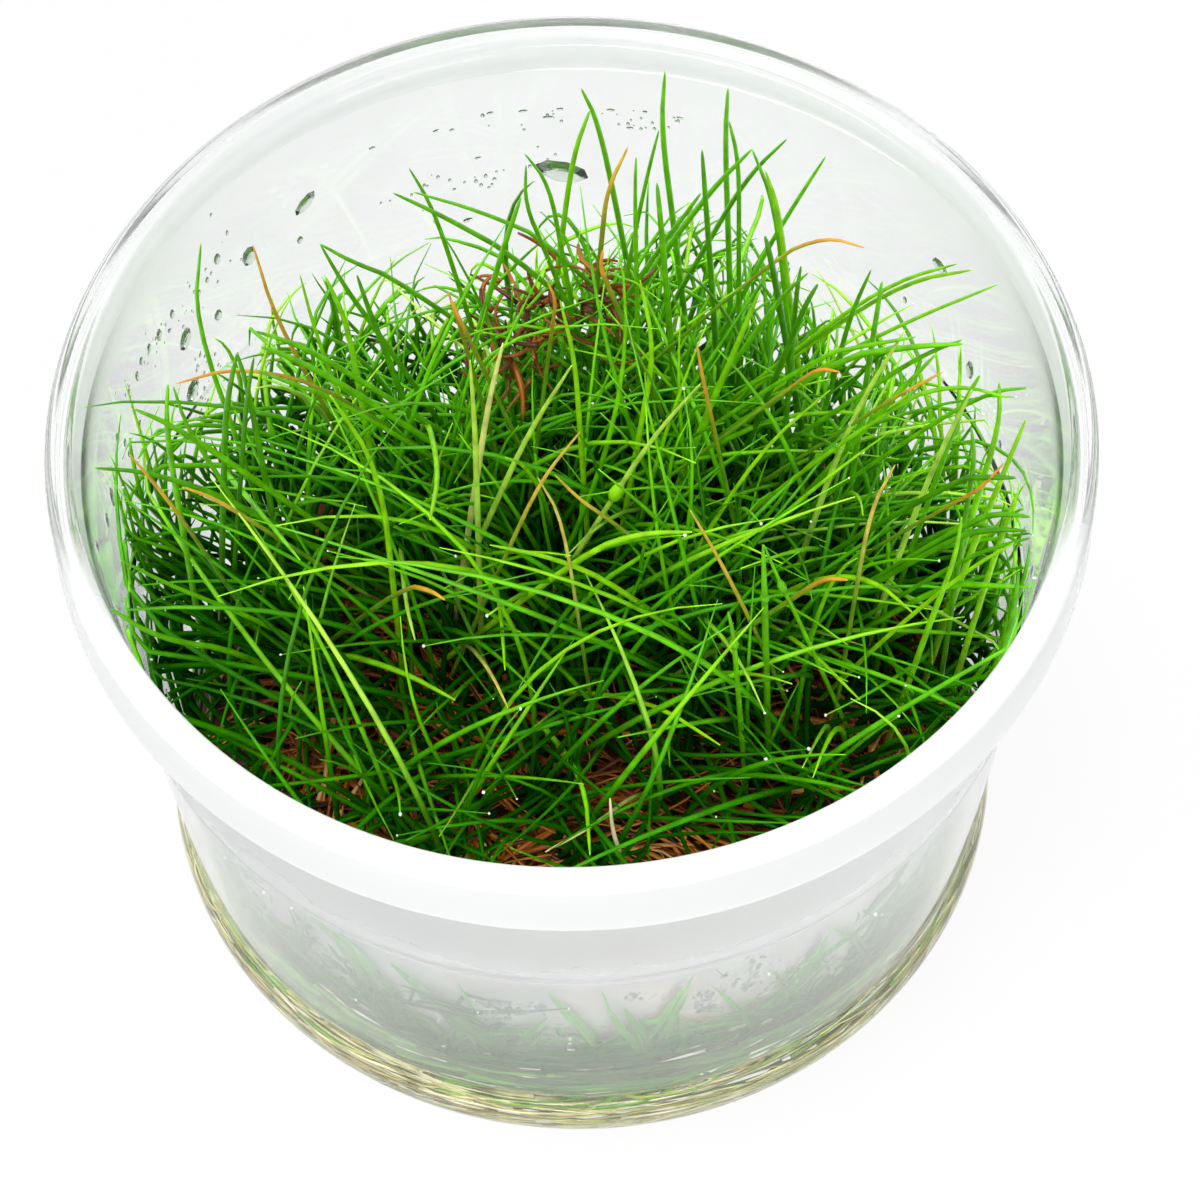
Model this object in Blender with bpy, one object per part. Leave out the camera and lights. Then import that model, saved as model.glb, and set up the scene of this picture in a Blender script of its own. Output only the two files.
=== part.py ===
# Dwarf hairgrass grown in a clear tissue culture cup. Metres, +Z up.
# The cup stands on z = 0, and its axis is the Z axis. The front of the plant faces -Y.
# Grass tufts stand on a mat of roots and dead leaves, and the mat lies on a disc of nutrient gel.

import math
import random

import bmesh
import bpy
import numpy as np
from mathutils import Vector
from mathutils.bvhtree import BVHTree

# Cup
CUP_HEIGHT = 0.061        # standing face to the top of the rim
MOUTH_RADIUS = 0.0425     # inner edge of the rim
WALL = 0.0009
CREASE_RADIUS = 0.0377    # outside of the wall where it meets the foot
CREASE_HEIGHT = 0.008
FOOT_CURVE = 0.0052       # radius of the curve from the foot into the base
SHOULDER_HEIGHT = 0.0366
SHOULDER_STEP = 0.00045   # the wall stands out by this much above the shoulder
SHOULDER_RISE = 0.0005
LIP_FLARE = 0.00025       # the mouth opens by this much at the rim
RIM_WIDTH = 0.0025        # mouth edge to the outside of the lid band
LID_BAND = 0.007          # depth of the band that a lid snaps over
RIM_ROUND = 0.0008
RECESS_RADIUS = 0.024     # raised middle of the base
RECESS_DEPTH = 0.0012
CUP_SIDES = 40
FOOT_STEPS = 4

# Gel and root mat
SEAT_GAP = 0.0003         # left between pieces that rest on each other
GEL_HEIGHT = 0.0078       # gel surface above the standing face
MENISCUS_RISE = 0.0007    # the gel climbs this much at the wall
MENISCUS_WIDTH = 0.002
MAT_MIDDLE_HEIGHT = 0.0175
MAT_EDGE_HEIGHT = 0.0118
MAT_WALL_GAP = 0.0008
MAT_LUMP = 0.0007
MAT_RECESS = 0.006        # the mat draws back from the wall by this much at the front
RECESS_SIDE = -105        # the side where it does so, in degrees round the axis
RECESS_SPREAD = 32        # degrees to either side over which the edge comes back
MAT_SIDES = 36
MAT_RINGS = 7

# Tufts
TUFT_COUNT = 44
TUFT_FIELD_RADIUS = 0.0325  # the outermost crown stands this far from the axis
CROWN_RADIUS = 0.0015
BLADES_PER_TUFT = 4
BLADE_RADIUS = 0.00042      # half the width of a blade above its sheath
BLADE_TIP_RADIUS = 0.00012
SHEATH_RADIUS = 0.0006      # half the width of a blade just above its crown
BLADE_JOINTS = 5            # straight stretches along one blade
ROOT_CROWDING = 1.25        # above 1, the stretches are shorter near the root
BLADE_BOW = 0.1             # most sideways bend, as a share of the blade's length
LEAST_ARCH = 0.05           # lift of the blade's middle, as a share of its length
MOST_ARCH = 0.3
BLADE_GAP = 0.00035         # air left between blades
WALL_GAP = 0.0004           # air left between a blade and the wall
MOUND_TOP = 0.0755          # tips in the middle of the mound
MOUND_SHARPNESS = 1.3       # above 1, the mound is flatter in the middle than at its edge
MOUND_SPREAD = 1.2          # tips lean outwards, to this share of the crown's distance
TIP_SCATTER = 0.006
HEIGHT_SCATTER = 0.006
LEADING_LEAN = 1.5          # a leading tip stands this many times as far out as its crown
LEADING_SCATTER = 0.0005
TRIES = 150
MOST_SHORTENING = 0.8
START_BUDS = 10             # faces of a crown that a blade can grow from
CLEAR_STEPS = 3             # places tested along one stretch of a blade

# Two corners of the room over the low front, where a hand can reach in and no blade stands
HEADROOM = ((-0.019, -0.042, 0.047), (0.019, -0.017, 0.08))

# Height of the tips at the edge of the mound, by the side in degrees: lowest at the front, at -90
EDGE_TIPS = (
    (-150, 0.046),
    (-120, 0.034),
    (-90, 0.029),
    (-60, 0.034),
    (-30, 0.046),
    (0, 0.052),
    (45, 0.050),
    (90, 0.048),
    (135, 0.050),
    (180, 0.057),
)

# Tips of the tallest blades, which give the mound its outline seen from the front
LEADING_TIPS = (
    (0.0090, 0.0267, 0.0754),
    (0.0019, 0.0238, 0.0769),
    (0.0143, 0.0250, 0.0751),
    (0.0190, 0.0186, 0.0760),
    (0.0223, 0.0171, 0.0754),
    (-0.0128, 0.0150, 0.0782),
    (-0.0308, 0.0114, 0.0733),
    (-0.0204, 0.0082, 0.0776),
    (0.0340, 0.0072, 0.0725),
    (0.0363, 0.0061, 0.0714),
    (0.0382, -0.0027, 0.0690),
    (0.0380, -0.0050, 0.0676),
    (0.0382, -0.0115, 0.0628),
    (-0.0400, -0.0059, 0.0659),
    (-0.0367, -0.0024, 0.0700),
    (-0.0332, -0.0015, 0.0722),
    (0.0325, -0.0009, 0.0729),
)

foot_angle = math.asin((CREASE_HEIGHT - FOOT_CURVE) / FOOT_CURVE)
foot_centre = CREASE_RADIUS - FOOT_CURVE * math.cos(foot_angle)
top_radius = MOUTH_RADIUS - LIP_FLARE + WALL - SHOULDER_STEP
wall_slope = (top_radius - CREASE_RADIUS) / (CUP_HEIGHT - CREASE_HEIGHT)


def outer_wall(z):
    """Radius of the cup's outside at height z, above the crease."""
    step = min(max((z - SHOULDER_HEIGHT) / SHOULDER_RISE, 0), 1)
    return CREASE_RADIUS + (z - CREASE_HEIGHT) * wall_slope + SHOULDER_STEP * step


def inner_wall(z):
    """Radius of the cup's inside at height z. Below the crease the wall turns in on the foot's curve."""
    if z > CREASE_HEIGHT:
        return outer_wall(z) - WALL
    inside = FOOT_CURVE - WALL
    drop = min(abs(z - FOOT_CURVE), inside)
    return foot_centre + math.sqrt(inside * inside - drop * drop)


def arc(radius, start, end, steps):
    """Points of the foot's curve, as (radius, height), from one angle to another."""
    angles = [start + (end - start) * i / steps for i in range(steps + 1)]
    return [(foot_centre + radius * math.cos(a), FOOT_CURVE + radius * math.sin(a)) for a in angles]


def floor_profile(lift):
    """The inside of the base from the axis to the foot's curve, raised by lift."""
    return [
        (0, RECESS_DEPTH + WALL + lift),
        (RECESS_RADIUS - RECESS_DEPTH, RECESS_DEPTH + WALL + lift),
        (RECESS_RADIUS, WALL + lift),
    ]


def cup_profile():
    """The cup's section: along the underside, up the outside, over the rim and down the inside."""
    down = -math.pi / 2
    underside = [(r, z - WALL) for r, z in floor_profile(0)]
    foot = arc(FOOT_CURVE, down, foot_angle, FOOT_STEPS)
    shoulder = [
        (outer_wall(SHOULDER_HEIGHT), SHOULDER_HEIGHT),
        (outer_wall(SHOULDER_HEIGHT + SHOULDER_RISE), SHOULDER_HEIGHT + SHOULDER_RISE),
    ]
    roof = CUP_HEIGHT - WALL
    band_outside = MOUTH_RADIUS + RIM_WIDTH
    band_inside = band_outside - WALL
    band_foot = CUP_HEIGHT - LID_BAND
    rim = [
        (outer_wall(roof), roof),
        (band_inside, roof),
        (band_inside, band_foot),
        (band_outside, band_foot),
        (band_outside, CUP_HEIGHT - RIM_ROUND),
        (band_outside - 0.3 * RIM_ROUND, CUP_HEIGHT - 0.3 * RIM_ROUND),
        (band_outside - RIM_ROUND, CUP_HEIGHT),
        (MOUTH_RADIUS + 0.4 * RIM_ROUND, CUP_HEIGHT),
        (MOUTH_RADIUS, CUP_HEIGHT - 0.4 * RIM_ROUND),
        (inner_wall(roof - RIM_ROUND), roof - RIM_ROUND),
    ]
    inside_shoulder = [(r - WALL, z) for r, z in reversed(shoulder)]
    inside_foot = arc(FOOT_CURVE - WALL, foot_angle, down, FOOT_STEPS)
    floor = list(reversed(floor_profile(0)))
    return underside + foot + shoulder + rim + inside_shoulder + inside_foot + floor


def gel_top(r):
    """Height of the gel's surface at radius r: flat, with a rim that climbs the wall."""
    edge = inner_wall(GEL_HEIGHT) - SEAT_GAP
    climb = min(max(1 - (edge - r) / MENISCUS_WIDTH, 0), 1)
    return GEL_HEIGHT + MENISCUS_RISE * climb * climb


def gel_profile():
    """The gel's section: along the cup's floor, up the foot's curve and back over the surface."""
    inside = FOOT_CURVE - WALL - SEAT_GAP
    side = arc(inside, -math.pi / 2, 0, FOOT_STEPS)
    edge = inner_wall(GEL_HEIGHT) - SEAT_GAP
    top = [(edge - share * MENISCUS_WIDTH, gel_top(edge - share * MENISCUS_WIDTH)) for share in (0, 0.35, 0.7, 1)]
    return floor_profile(SEAT_GAP) + side + top + [(0, GEL_HEIGHT)]


def mat_radius():
    return inner_wall(MAT_EDGE_HEIGHT) - MAT_WALL_GAP


def mat_top(r):
    """Height of the mat's domed top at radius r, before its lumps."""
    share = min(r / mat_radius(), 1)
    return MAT_MIDDLE_HEIGHT + (MAT_EDGE_HEIGHT - MAT_MIDDLE_HEIGHT) * share * share


def mat_profile():
    """The mat's section: over the gel, round its edge and back over the dome."""
    full = mat_radius()
    foot = inner_wall(GEL_HEIGHT) - SEAT_GAP - MENISCUS_WIDTH
    under = [(0, GEL_HEIGHT + SEAT_GAP), (foot, GEL_HEIGHT + SEAT_GAP)]
    lip = [(full, GEL_HEIGHT + MENISCUS_RISE + SEAT_GAP), (full, MAT_EDGE_HEIGHT - MAT_LUMP)]
    rings = [full * (MAT_RINGS - i) / (MAT_RINGS + 0.5) for i in range(MAT_RINGS)]
    return under + lip + [(r, mat_top(r)) for r in rings] + [(0, mat_top(0))]


def mat_reach(turn):
    """Share of its full radius that the mat reaches at an angle: less round the recess."""
    off = (math.degrees(turn) - RECESS_SIDE + 180) % 360 - 180
    return 1 - MAT_RECESS / mat_radius() * math.exp(-(off / RECESS_SPREAD) ** 2)


def mat_lump(x, y):
    """Rise or dip of the mat at a place, from three crossing waves."""
    waves = math.sin(610 * x + 1.3) * math.cos(540 * y) + 0.6 * math.sin(930 * (x + y) + 0.4)
    return MAT_LUMP * (waves + 0.5 * math.cos(1270 * (x - 0.7 * y))) / 2.1


def material(name, colour, roughness, transmission=0.0, alpha=1.0):
    made = bpy.data.materials.new(name)
    made.use_nodes = True
    surface = made.node_tree.nodes["Principled BSDF"]
    surface.inputs["Base Color"].default_value = (*colour, 1)
    surface.inputs["Roughness"].default_value = roughness
    surface.inputs["Metallic"].default_value = 0
    surface.inputs["Transmission Weight"].default_value = transmission
    surface.inputs["Alpha"].default_value = alpha
    return made


def add_object(name, mesh_source, finish):
    mesh = bpy.data.meshes.new(name)
    mesh_source.to_mesh(mesh)
    mesh_source.free()
    mesh.materials.append(finish)
    mesh.shade_smooth()
    mesh.set_sharp_from_angle(angle=math.radians(40))
    made = bpy.data.objects.new(name, mesh)
    bpy.context.scene.collection.objects.link(made)
    return made


def turned(profile, sides):
    """A solid turned about the Z axis from a section whose two ends lie on that axis."""
    shape = bmesh.new()
    corners = [shape.verts.new((r, 0, z)) for r, z in profile]
    edges = [shape.edges.new(pair) for pair in zip(corners, corners[1:])]
    bmesh.ops.spin(shape, geom=corners + edges, cent=(0, 0, 0), axis=(0, 0, 1), dvec=(0, 0, 0),
                   angle=2 * math.pi, steps=sides, use_merge=True, use_duplicate=False)
    bmesh.ops.remove_doubles(shape, verts=shape.verts, dist=1e-6)
    bmesh.ops.recalc_face_normals(shape, faces=shape.faces)
    return shape


def make_cup():
    plastic = material("clear_plastic", (0.93, 0.95, 0.95), 0.08, transmission=1.0, alpha=0.3)
    return add_object("cup", turned(cup_profile(), CUP_SIDES), plastic)


def make_gel():
    gel = material("gel", (0.86, 0.86, 0.66), 0.15, transmission=1.0, alpha=0.45)
    return add_object("nutrient_gel", turned(gel_profile(), CUP_SIDES), gel)


def make_mat():
    fibre = material("dead_leaves_and_roots", (0.17, 0.075, 0.025), 0.8)
    shape = turned(mat_profile(), MAT_SIDES)
    for corner in shape.verts:
        reach = mat_reach(math.atan2(corner.co.y, corner.co.x))
        corner.co.x *= reach
        corner.co.y *= reach
        if corner.co.z > MAT_EDGE_HEIGHT - MAT_LUMP / 2:
            corner.co.z += mat_lump(corner.co.x, corner.co.y)
    return add_object("root_mat", shape, fibre)


def crown_places(ground):
    """Centres of the crowns, laid out as in a seed head, each resting on the mat below it."""
    golden_angle = math.pi * (3 - math.sqrt(5))
    places = []
    for i in range(TUFT_COUNT):
        turn = i * golden_angle
        r = TUFT_FIELD_RADIUS * math.sqrt((i + 0.5) / (TUFT_COUNT - 0.5)) * mat_reach(turn)
        x, y = r * math.cos(turn), r * math.sin(turn)
        heights = []
        for step in range(7):
            reach = CROWN_RADIUS if step else 0
            around = step * math.pi / 3
            start = Vector((x + reach * math.cos(around), y + reach * math.sin(around), CUP_HEIGHT))
            hit = ground.ray_cast(start, Vector((0, 0, -1)))[0]
            heights.append(hit.z)
        places.append(Vector((x, y, max(heights) + SEAT_GAP + CROWN_RADIUS)))
    return places


def mound_height(x, y):
    """Height that the tips reach above a place: from the mound's top down to its edge on the same side."""
    sides, heights = zip(*EDGE_TIPS)
    edge = float(np.interp(math.degrees(math.atan2(y, x)), sides, heights, period=360))
    share = min(math.hypot(x, y) / (0.9 * MOUTH_RADIUS), 1)
    return MOUND_TOP + (edge - MOUND_TOP) * share ** MOUND_SHARPNESS


def in_headroom(place):
    """True if the place lies in the room over the low front."""
    return all(low < at < high for low, at, high in zip(HEADROOM[0], place, HEADROOM[1]))


def held_inside(point):
    """The point, moved towards the axis if it would touch the wall."""
    room = inner_wall(min(point.z, CUP_HEIGHT - WALL)) - WALL_GAP - BLADE_RADIUS
    reach = math.hypot(point.x, point.y)
    if reach <= room:
        return point
    return Vector((point.x * room / reach, point.y * room / reach, point.z))


def blade_path(root, tip, arch, bow):
    """Points of an arching blade: a parabola from root to tip, lifted by arch and bent sideways by bow."""
    span = tip - root
    middle = root + span / 2 + Vector((bow.x, bow.y, arch)) * span.length
    points = [root]
    for joint in range(1, BLADE_JOINTS + 1):
        t = (joint / BLADE_JOINTS) ** ROOT_CROWDING
        points.append(held_inside(root * (1 - t) ** 2 + middle * 2 * t * (1 - t) + tip * t * t))
    return points


def stretches(points):
    """The straight stretches of a blade, as starts and ends, past the place where it leaves its crown."""
    corners = np.array([tuple(point) for point in points])
    first = corners[1] - corners[0]
    corners[0] += first * min(CROWN_RADIUS / np.linalg.norm(first), 0.9)
    return corners[:-1], corners[1:]


def nearest_approach(one, other):
    """The least distance between any straight stretch of one set and any of another."""
    along, across = (one[1] - one[0])[:, None, :], (other[1] - other[0])[None, :, :]
    apart = one[0][:, None, :] - other[0][None, :, :]
    length = (along * along).sum(2)
    width = (across * across).sum(2) + 1e-12
    both, back, over = (along * across).sum(2), (along * apart).sum(2), (across * apart).sum(2)
    skew = np.maximum(length * width - both * both, 1e-18)
    s = np.clip((both * over - back * width) / skew, 0, 1)
    t = (both * s + over) / width
    s = np.where(t < 0, np.clip(-back / length, 0, 1), np.where(t > 1, np.clip((both - back) / length, 0, 1), s))
    gap = apart + along * s[:, :, None] - across * np.clip(t, 0, 1)[:, :, None]
    return float(np.sqrt((gap * gap).sum(2).min()))


class Tuft:
    """One clump of grass: a small crown, from whose faces the blades grow."""

    def __init__(self, centre):
        self.centre = centre
        self.leads = []
        self.shape = bmesh.new()
        bmesh.ops.create_icosphere(self.shape, subdivisions=1, radius=CROWN_RADIUS)
        bmesh.ops.translate(self.shape, verts=self.shape.verts, vec=centre)
        self.shape.normal_update()
        self.buds = [face for face in self.shape.faces if face.normal.z > 0.1]

    def lean(self):
        """The place over which the clump's blades gather: that of its leading tips, or one a little further out."""
        if not self.leads:
            return self.centre * MOUND_SPREAD
        return sum(self.leads, Vector()) / len(self.leads)

    def bud_towards(self, tip):
        """The free face of the crown that looks most nearly at the tip."""
        aim = (tip - self.centre).normalized()
        return max(self.buds, key=lambda face: face.normal.dot(aim))

    def grow(self, face, points):
        """Carries the face along the points, as a tapering three-sided blade."""
        self.buds.remove(face)
        root = face.calc_center_median()
        heading = face.normal.copy()
        spokes = [(loop.vert.co - root).normalized() for loop in face.loops]
        for joint in range(1, len(points)):
            before, here = points[joint - 1], points[joint]
            after = points[min(joint + 1, len(points) - 1)]
            tangent = (after - before).normalized()
            turn = heading.rotation_difference(tangent)
            heading = tangent
            spokes = [turn @ spoke for spoke in spokes]
            share = joint / (len(points) - 1)
            radius = BLADE_RADIUS + (BLADE_TIP_RADIUS - BLADE_RADIUS) * share * share
            face = bmesh.ops.extrude_discrete_faces(self.shape, faces=[face])["faces"][0]
            for loop, spoke in zip(face.loops, spokes):
                loop.vert.co = here + spoke * radius


class Field:
    """All the tufts, with the stretches of blade that already fill the cup. The ground is the top of the mat."""

    def __init__(self, ground):
        places = crown_places(ground)
        self.ground = ground
        self.tufts = [Tuft(place) for place in places]
        self.crowns = np.array([tuple(place) for place in places])
        self.starts = np.empty((0, 3))
        self.ends = np.empty((0, 3))
        self.chance = random.Random(5)

    def in_the_open(self, blade):
        """True if the blade keeps out of the headroom and clear of the mat all along."""
        for start, end in zip(*blade):
            for step in range(CLEAR_STEPS + 1):
                place = Vector(start).lerp(Vector(end), step / CLEAR_STEPS)
                if in_headroom(place):
                    return False
                if self.ground.find_nearest(place)[3] < SHEATH_RADIUS + SEAT_GAP:
                    return False
        return True

    def free(self, tuft, points):
        """True if a blade along the points is in the open, past every other crown and every blade already grown."""
        blade = stretches(points)
        if not self.in_the_open(blade):
            return False
        others = self.crowns[[other is not tuft for other in self.tufts]]
        if nearest_approach(blade, (others, others)) < CROWN_RADIUS + BLADE_RADIUS + BLADE_GAP:
            return False
        if len(self.starts) == 0:
            return True
        return nearest_approach(blade, (self.starts, self.ends)) > 2 * BLADE_RADIUS + BLADE_GAP

    def add_blade(self, tuft, tip, scatter):
        """Tries leans and bends round the wanted tip until the blade passes clear. A crowded blade stays shorter."""
        for attempt in range(TRIES):
            share = attempt / TRIES
            loose = scatter * (0.4 + 1.6 * share)
            offset = Vector((self.chance.uniform(-loose, loose), self.chance.uniform(-loose, loose), 0))
            reach = 1 - MOST_SHORTENING * share * share
            target = held_inside(tuft.centre + (tip + offset - tuft.centre) * reach)
            face = tuft.bud_towards(target)
            bend = self.chance.uniform(0, BLADE_BOW)
            turn = self.chance.uniform(0, 2 * math.pi)
            bow = Vector((bend * math.cos(turn), bend * math.sin(turn)))
            arch = self.chance.uniform(LEAST_ARCH, MOST_ARCH)
            points = blade_path(face.calc_center_median(), target, arch, bow)
            if self.free(tuft, points):
                tuft.grow(face, points)
                starts, ends = stretches(points)
                self.starts = np.concatenate([self.starts, starts])
                self.ends = np.concatenate([self.ends, ends])
                return

    def below(self, tip):
        """The tuft that a leading blade grows from: near the tip, but drawn in, and not yet crowded."""
        foot = Vector((tip.x, tip.y)) / LEADING_LEAN

        def strain(tuft):
            used = START_BUDS - len(tuft.buds)
            return math.hypot(tuft.centre.x - foot.x, tuft.centre.y - foot.y) + used * CROWN_RADIUS

        return min(self.tufts, key=strain)

    def grow_all(self):
        """The leading blades first, then the rest, one round over all the tufts after another."""
        for corner in LEADING_TIPS:
            tip = Vector(corner)
            tuft = self.below(tip)
            tuft.leads.append(tip)
            self.add_blade(tuft, tip, LEADING_SCATTER)
        for turn in range(1, BLADES_PER_TUFT + 1):
            for tuft in self.tufts:
                middle = tuft.lean()
                x = middle.x + self.chance.uniform(-TIP_SCATTER, TIP_SCATTER)
                y = middle.y + self.chance.uniform(-TIP_SCATTER, TIP_SCATTER)
                z = mound_height(x, y) - self.chance.uniform(0, HEIGHT_SCATTER) * turn
                self.add_blade(tuft, Vector((x, y, z)), TIP_SCATTER)


def make_tufts(mat):
    grass = material("hairgrass", (0.13, 0.42, 0.02), 0.45)
    field = Field(BVHTree.FromObject(mat, bpy.context.evaluated_depsgraph_get()))
    field.grow_all()
    for number, tuft in enumerate(field.tufts, start=1):
        bmesh.ops.recalc_face_normals(tuft.shape, faces=tuft.shape.faces)
        add_object(f"tuft_{number:02d}", tuft.shape, grass)


def clear_scene():
    for item in list(bpy.data.objects):
        bpy.data.objects.remove(item)


clear_scene()
make_cup()
make_gel()
root_mat = make_mat()
bpy.context.view_layer.update()
make_tufts(root_mat)
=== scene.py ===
import math

import bpy
import numpy as np
from mathutils import Matrix, Vector


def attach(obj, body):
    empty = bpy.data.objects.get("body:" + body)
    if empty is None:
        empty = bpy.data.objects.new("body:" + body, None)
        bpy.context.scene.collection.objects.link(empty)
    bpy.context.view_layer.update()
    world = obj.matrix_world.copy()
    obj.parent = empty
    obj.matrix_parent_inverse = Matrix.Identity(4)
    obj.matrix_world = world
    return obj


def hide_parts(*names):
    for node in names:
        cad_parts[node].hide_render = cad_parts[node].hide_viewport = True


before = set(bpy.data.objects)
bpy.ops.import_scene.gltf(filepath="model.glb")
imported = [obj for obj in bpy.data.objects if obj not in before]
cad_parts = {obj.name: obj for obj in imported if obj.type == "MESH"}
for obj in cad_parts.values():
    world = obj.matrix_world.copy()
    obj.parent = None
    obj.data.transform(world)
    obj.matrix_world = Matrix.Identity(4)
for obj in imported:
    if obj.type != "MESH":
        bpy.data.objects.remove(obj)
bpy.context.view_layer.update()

# The cup's sizes in metres, as the CAD has them but for a lower step at the shoulder
cup = {
    "height": 0.061, "mouth": 0.0425, "wall": 0.0009, "creaseRadius": 0.0377, "creaseHeight": 0.008,
    "footCurve": 0.0052, "shoulder": 0.0366, "step": 0.0002, "stepRise": 0.0005, "flare": 0.00025,
    "rimWidth": 0.0025, "lidBand": 0.007, "recessRadius": 0.024, "recessDepth": 0.0012, "sides": 180,
    "crisp": 0.0005,  # rows this close to the step keep it sharp
    "wallFoot": 0.009, "wallMiddle": 0.03,  # heights on the straight part of the wall
    "lipRound": 0.0006, "bandRound": 0.0004, "rimRound": 0.0008, "mouthRound": 0.0005,
}
footAngle = math.asin((cup["creaseHeight"] - cup["footCurve"]) / cup["footCurve"])
footCentre = cup["creaseRadius"] - cup["footCurve"] * math.cos(footAngle)
wallTop = cup["mouth"] - cup["flare"] + cup["wall"] - cup["step"]
wallSlope = (wallTop - cup["creaseRadius"]) / (cup["height"] - cup["creaseHeight"])


# Outside radius: a straight taper up from the crease, with a small step out above the shoulder
def outerWall(z):
    step = np.clip((z - cup["shoulder"]) / cup["stepRise"], 0, 1)
    return cup["creaseRadius"] + (z - cup["creaseHeight"]) * wallSlope + cup["step"] * step


# Inside radius: the outside less the wall; below the crease, the circle of the foot's inner curve
def innerWall(z):
    z = np.asarray(z, float)
    inside = cup["footCurve"] - cup["wall"]
    drop = np.minimum(np.abs(z - cup["footCurve"]), inside)
    curved = footCentre + np.sqrt(inside * inside - drop * drop)
    return np.where(z > cup["creaseHeight"], outerWall(z) - cup["wall"], curved)


# Stands back from the mouth's centre at the lift angle, then is turned aside, turned down and rolled
def makeCamera():
    shot = {"lift": 56.12, "distance": 0.425, "aside": -0.27, "down": -1.99, "roll": -1.78, "lens": 149.4,
            "sensor": 36, "pixels": 1200, "nearest": 0.01, "farthest": 20}
    lift, roll = math.radians(shot["lift"]), math.radians(shot["roll"])
    back = Vector((0, -math.cos(lift), math.sin(lift)))
    right = Vector((1, 0, 0))
    aside = Matrix.Rotation(math.radians(shot["aside"]), 3, back.cross(right))
    forward, right = aside @ -back, aside @ right
    forward = Matrix.Rotation(math.radians(shot["down"]), 3, right) @ forward
    up = right.cross(forward)
    across = right * math.cos(roll) + up * math.sin(roll)
    upright = up * math.cos(roll) - right * math.sin(roll)
    data = bpy.data.cameras.new("camera")
    data.sensor_width, data.lens = shot["sensor"], shot["lens"]
    data.clip_start, data.clip_end = shot["nearest"], shot["farthest"]
    holder = bpy.data.objects.new("camera", data)
    place = Vector((0, 0, cup["height"])) + back * shot["distance"]
    holder.matrix_world = Matrix.Translation(place) @ Matrix((across, upright, -forward)).transposed().to_4x4()
    bpy.context.scene.collection.objects.link(holder)
    bpy.context.scene.camera = holder
    return {"place": np.array(place), "across": np.array(across), "upright": np.array(upright),
            "forward": np.array(forward), "focal": shot["lens"] / shot["sensor"] * shot["pixels"],
            "middle": shot["pixels"] / 2}


# Directions from the camera through pixels of the frame: forward, and as far aside and down as the pixel is from the
# middle, divided by the focal length
def sightLines(pixels):
    across, down = np.moveaxis((np.asarray(pixels, float) - camera["middle"]) / camera["focal"], -1, 0)
    return camera["forward"] + camera["across"] * across[..., None] - camera["upright"] * down[..., None]


# Pixels at which the camera sees points: the same division the other way round
def pixelsSeen(points):
    away = points - camera["place"]
    across, up = away @ camera["across"], away @ camera["upright"]
    return camera["middle"] + camera["focal"] * np.stack([across, -up], -1) / (away @ camera["forward"])[..., None]


# Where the sight lines cross the heights z
def pixelsAtHeight(pixels, z):
    ray = sightLines(pixels)
    return camera["place"] + ray * ((np.asarray(z, float) - camera["place"][2]) / ray[..., 2])[..., None]


# Where the sight lines meet the cone of the cup's inner wall: the roots of a quadratic in the distance along each
# line, the near one for the front wall and the far one for the back wall; three rounds settle which stretch of the
# wall is met
def pixelsOnWall(pixels, far, inset):
    ray = sightLines(pixels)
    start = camera["place"]
    middle = np.full(ray.shape[:-1], cup["wallMiddle"])
    for turn in range(3):
        base = innerWall(middle) - inset - middle * wallSlope
        rise = base + start[2] * wallSlope
        a = ray[..., 0] ** 2 + ray[..., 1] ** 2 - (ray[..., 2] * wallSlope) ** 2
        b = 2 * (ray[..., 0] * start[0] + ray[..., 1] * start[1] - ray[..., 2] * wallSlope * rise)
        c = start[0] ** 2 + start[1] ** 2 - rise ** 2
        root = np.sqrt(np.maximum(b * b - 4 * a * c, 0))
        reach = (-b + root) / (2 * a) if far else (-b - root) / (2 * a)
        found = start + ray * reach[..., None]
        middle = np.clip(found[..., 2], cup["wallFoot"], cup["height"])
    return found


# Equal steps round a full turn
def roundAngles(sides):
    return np.arange(sides) * 2 * np.pi / sides


# Points by their distance from the Z axis, angle round it and height, as arrays that fit together
def aroundAxis(radius, angle, height):
    return np.stack(np.broadcast_arrays(radius * np.cos(angle), radius * np.sin(angle), height), -1)


# The same directions with a length of 1
def unitLong(vectors):
    return vectors / np.linalg.norm(vectors, axis=-1, keepdims=True)


# Quads of a grid of rows and columns, whose last column joins the first
def gridFaces(rows, columns):
    i, j = np.meshgrid(np.arange(rows - 1), np.arange(columns), indexing="ij")
    a = i * columns + j
    b = i * columns + (j + 1) % columns
    return np.stack([a, b, b + columns, a + columns], -1).reshape(-1, 4)


# Triangles from a hub to each side of the ring that starts at a corner, facing up or down
def fan(hub, ring, sides, up):
    j = np.arange(sides)
    near, later = ring + j, ring + (j + 1) % sides
    return np.stack([np.full(sides, hub)] + ([near, later] if up else [later, near]), -1)


# The faces of one shape, once for each copy, whose corners follow one another
def repeated(faces, copies, size):
    return (faces[None] + (np.arange(copies) * size)[:, None, None]).reshape(-1, faces.shape[1])


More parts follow.
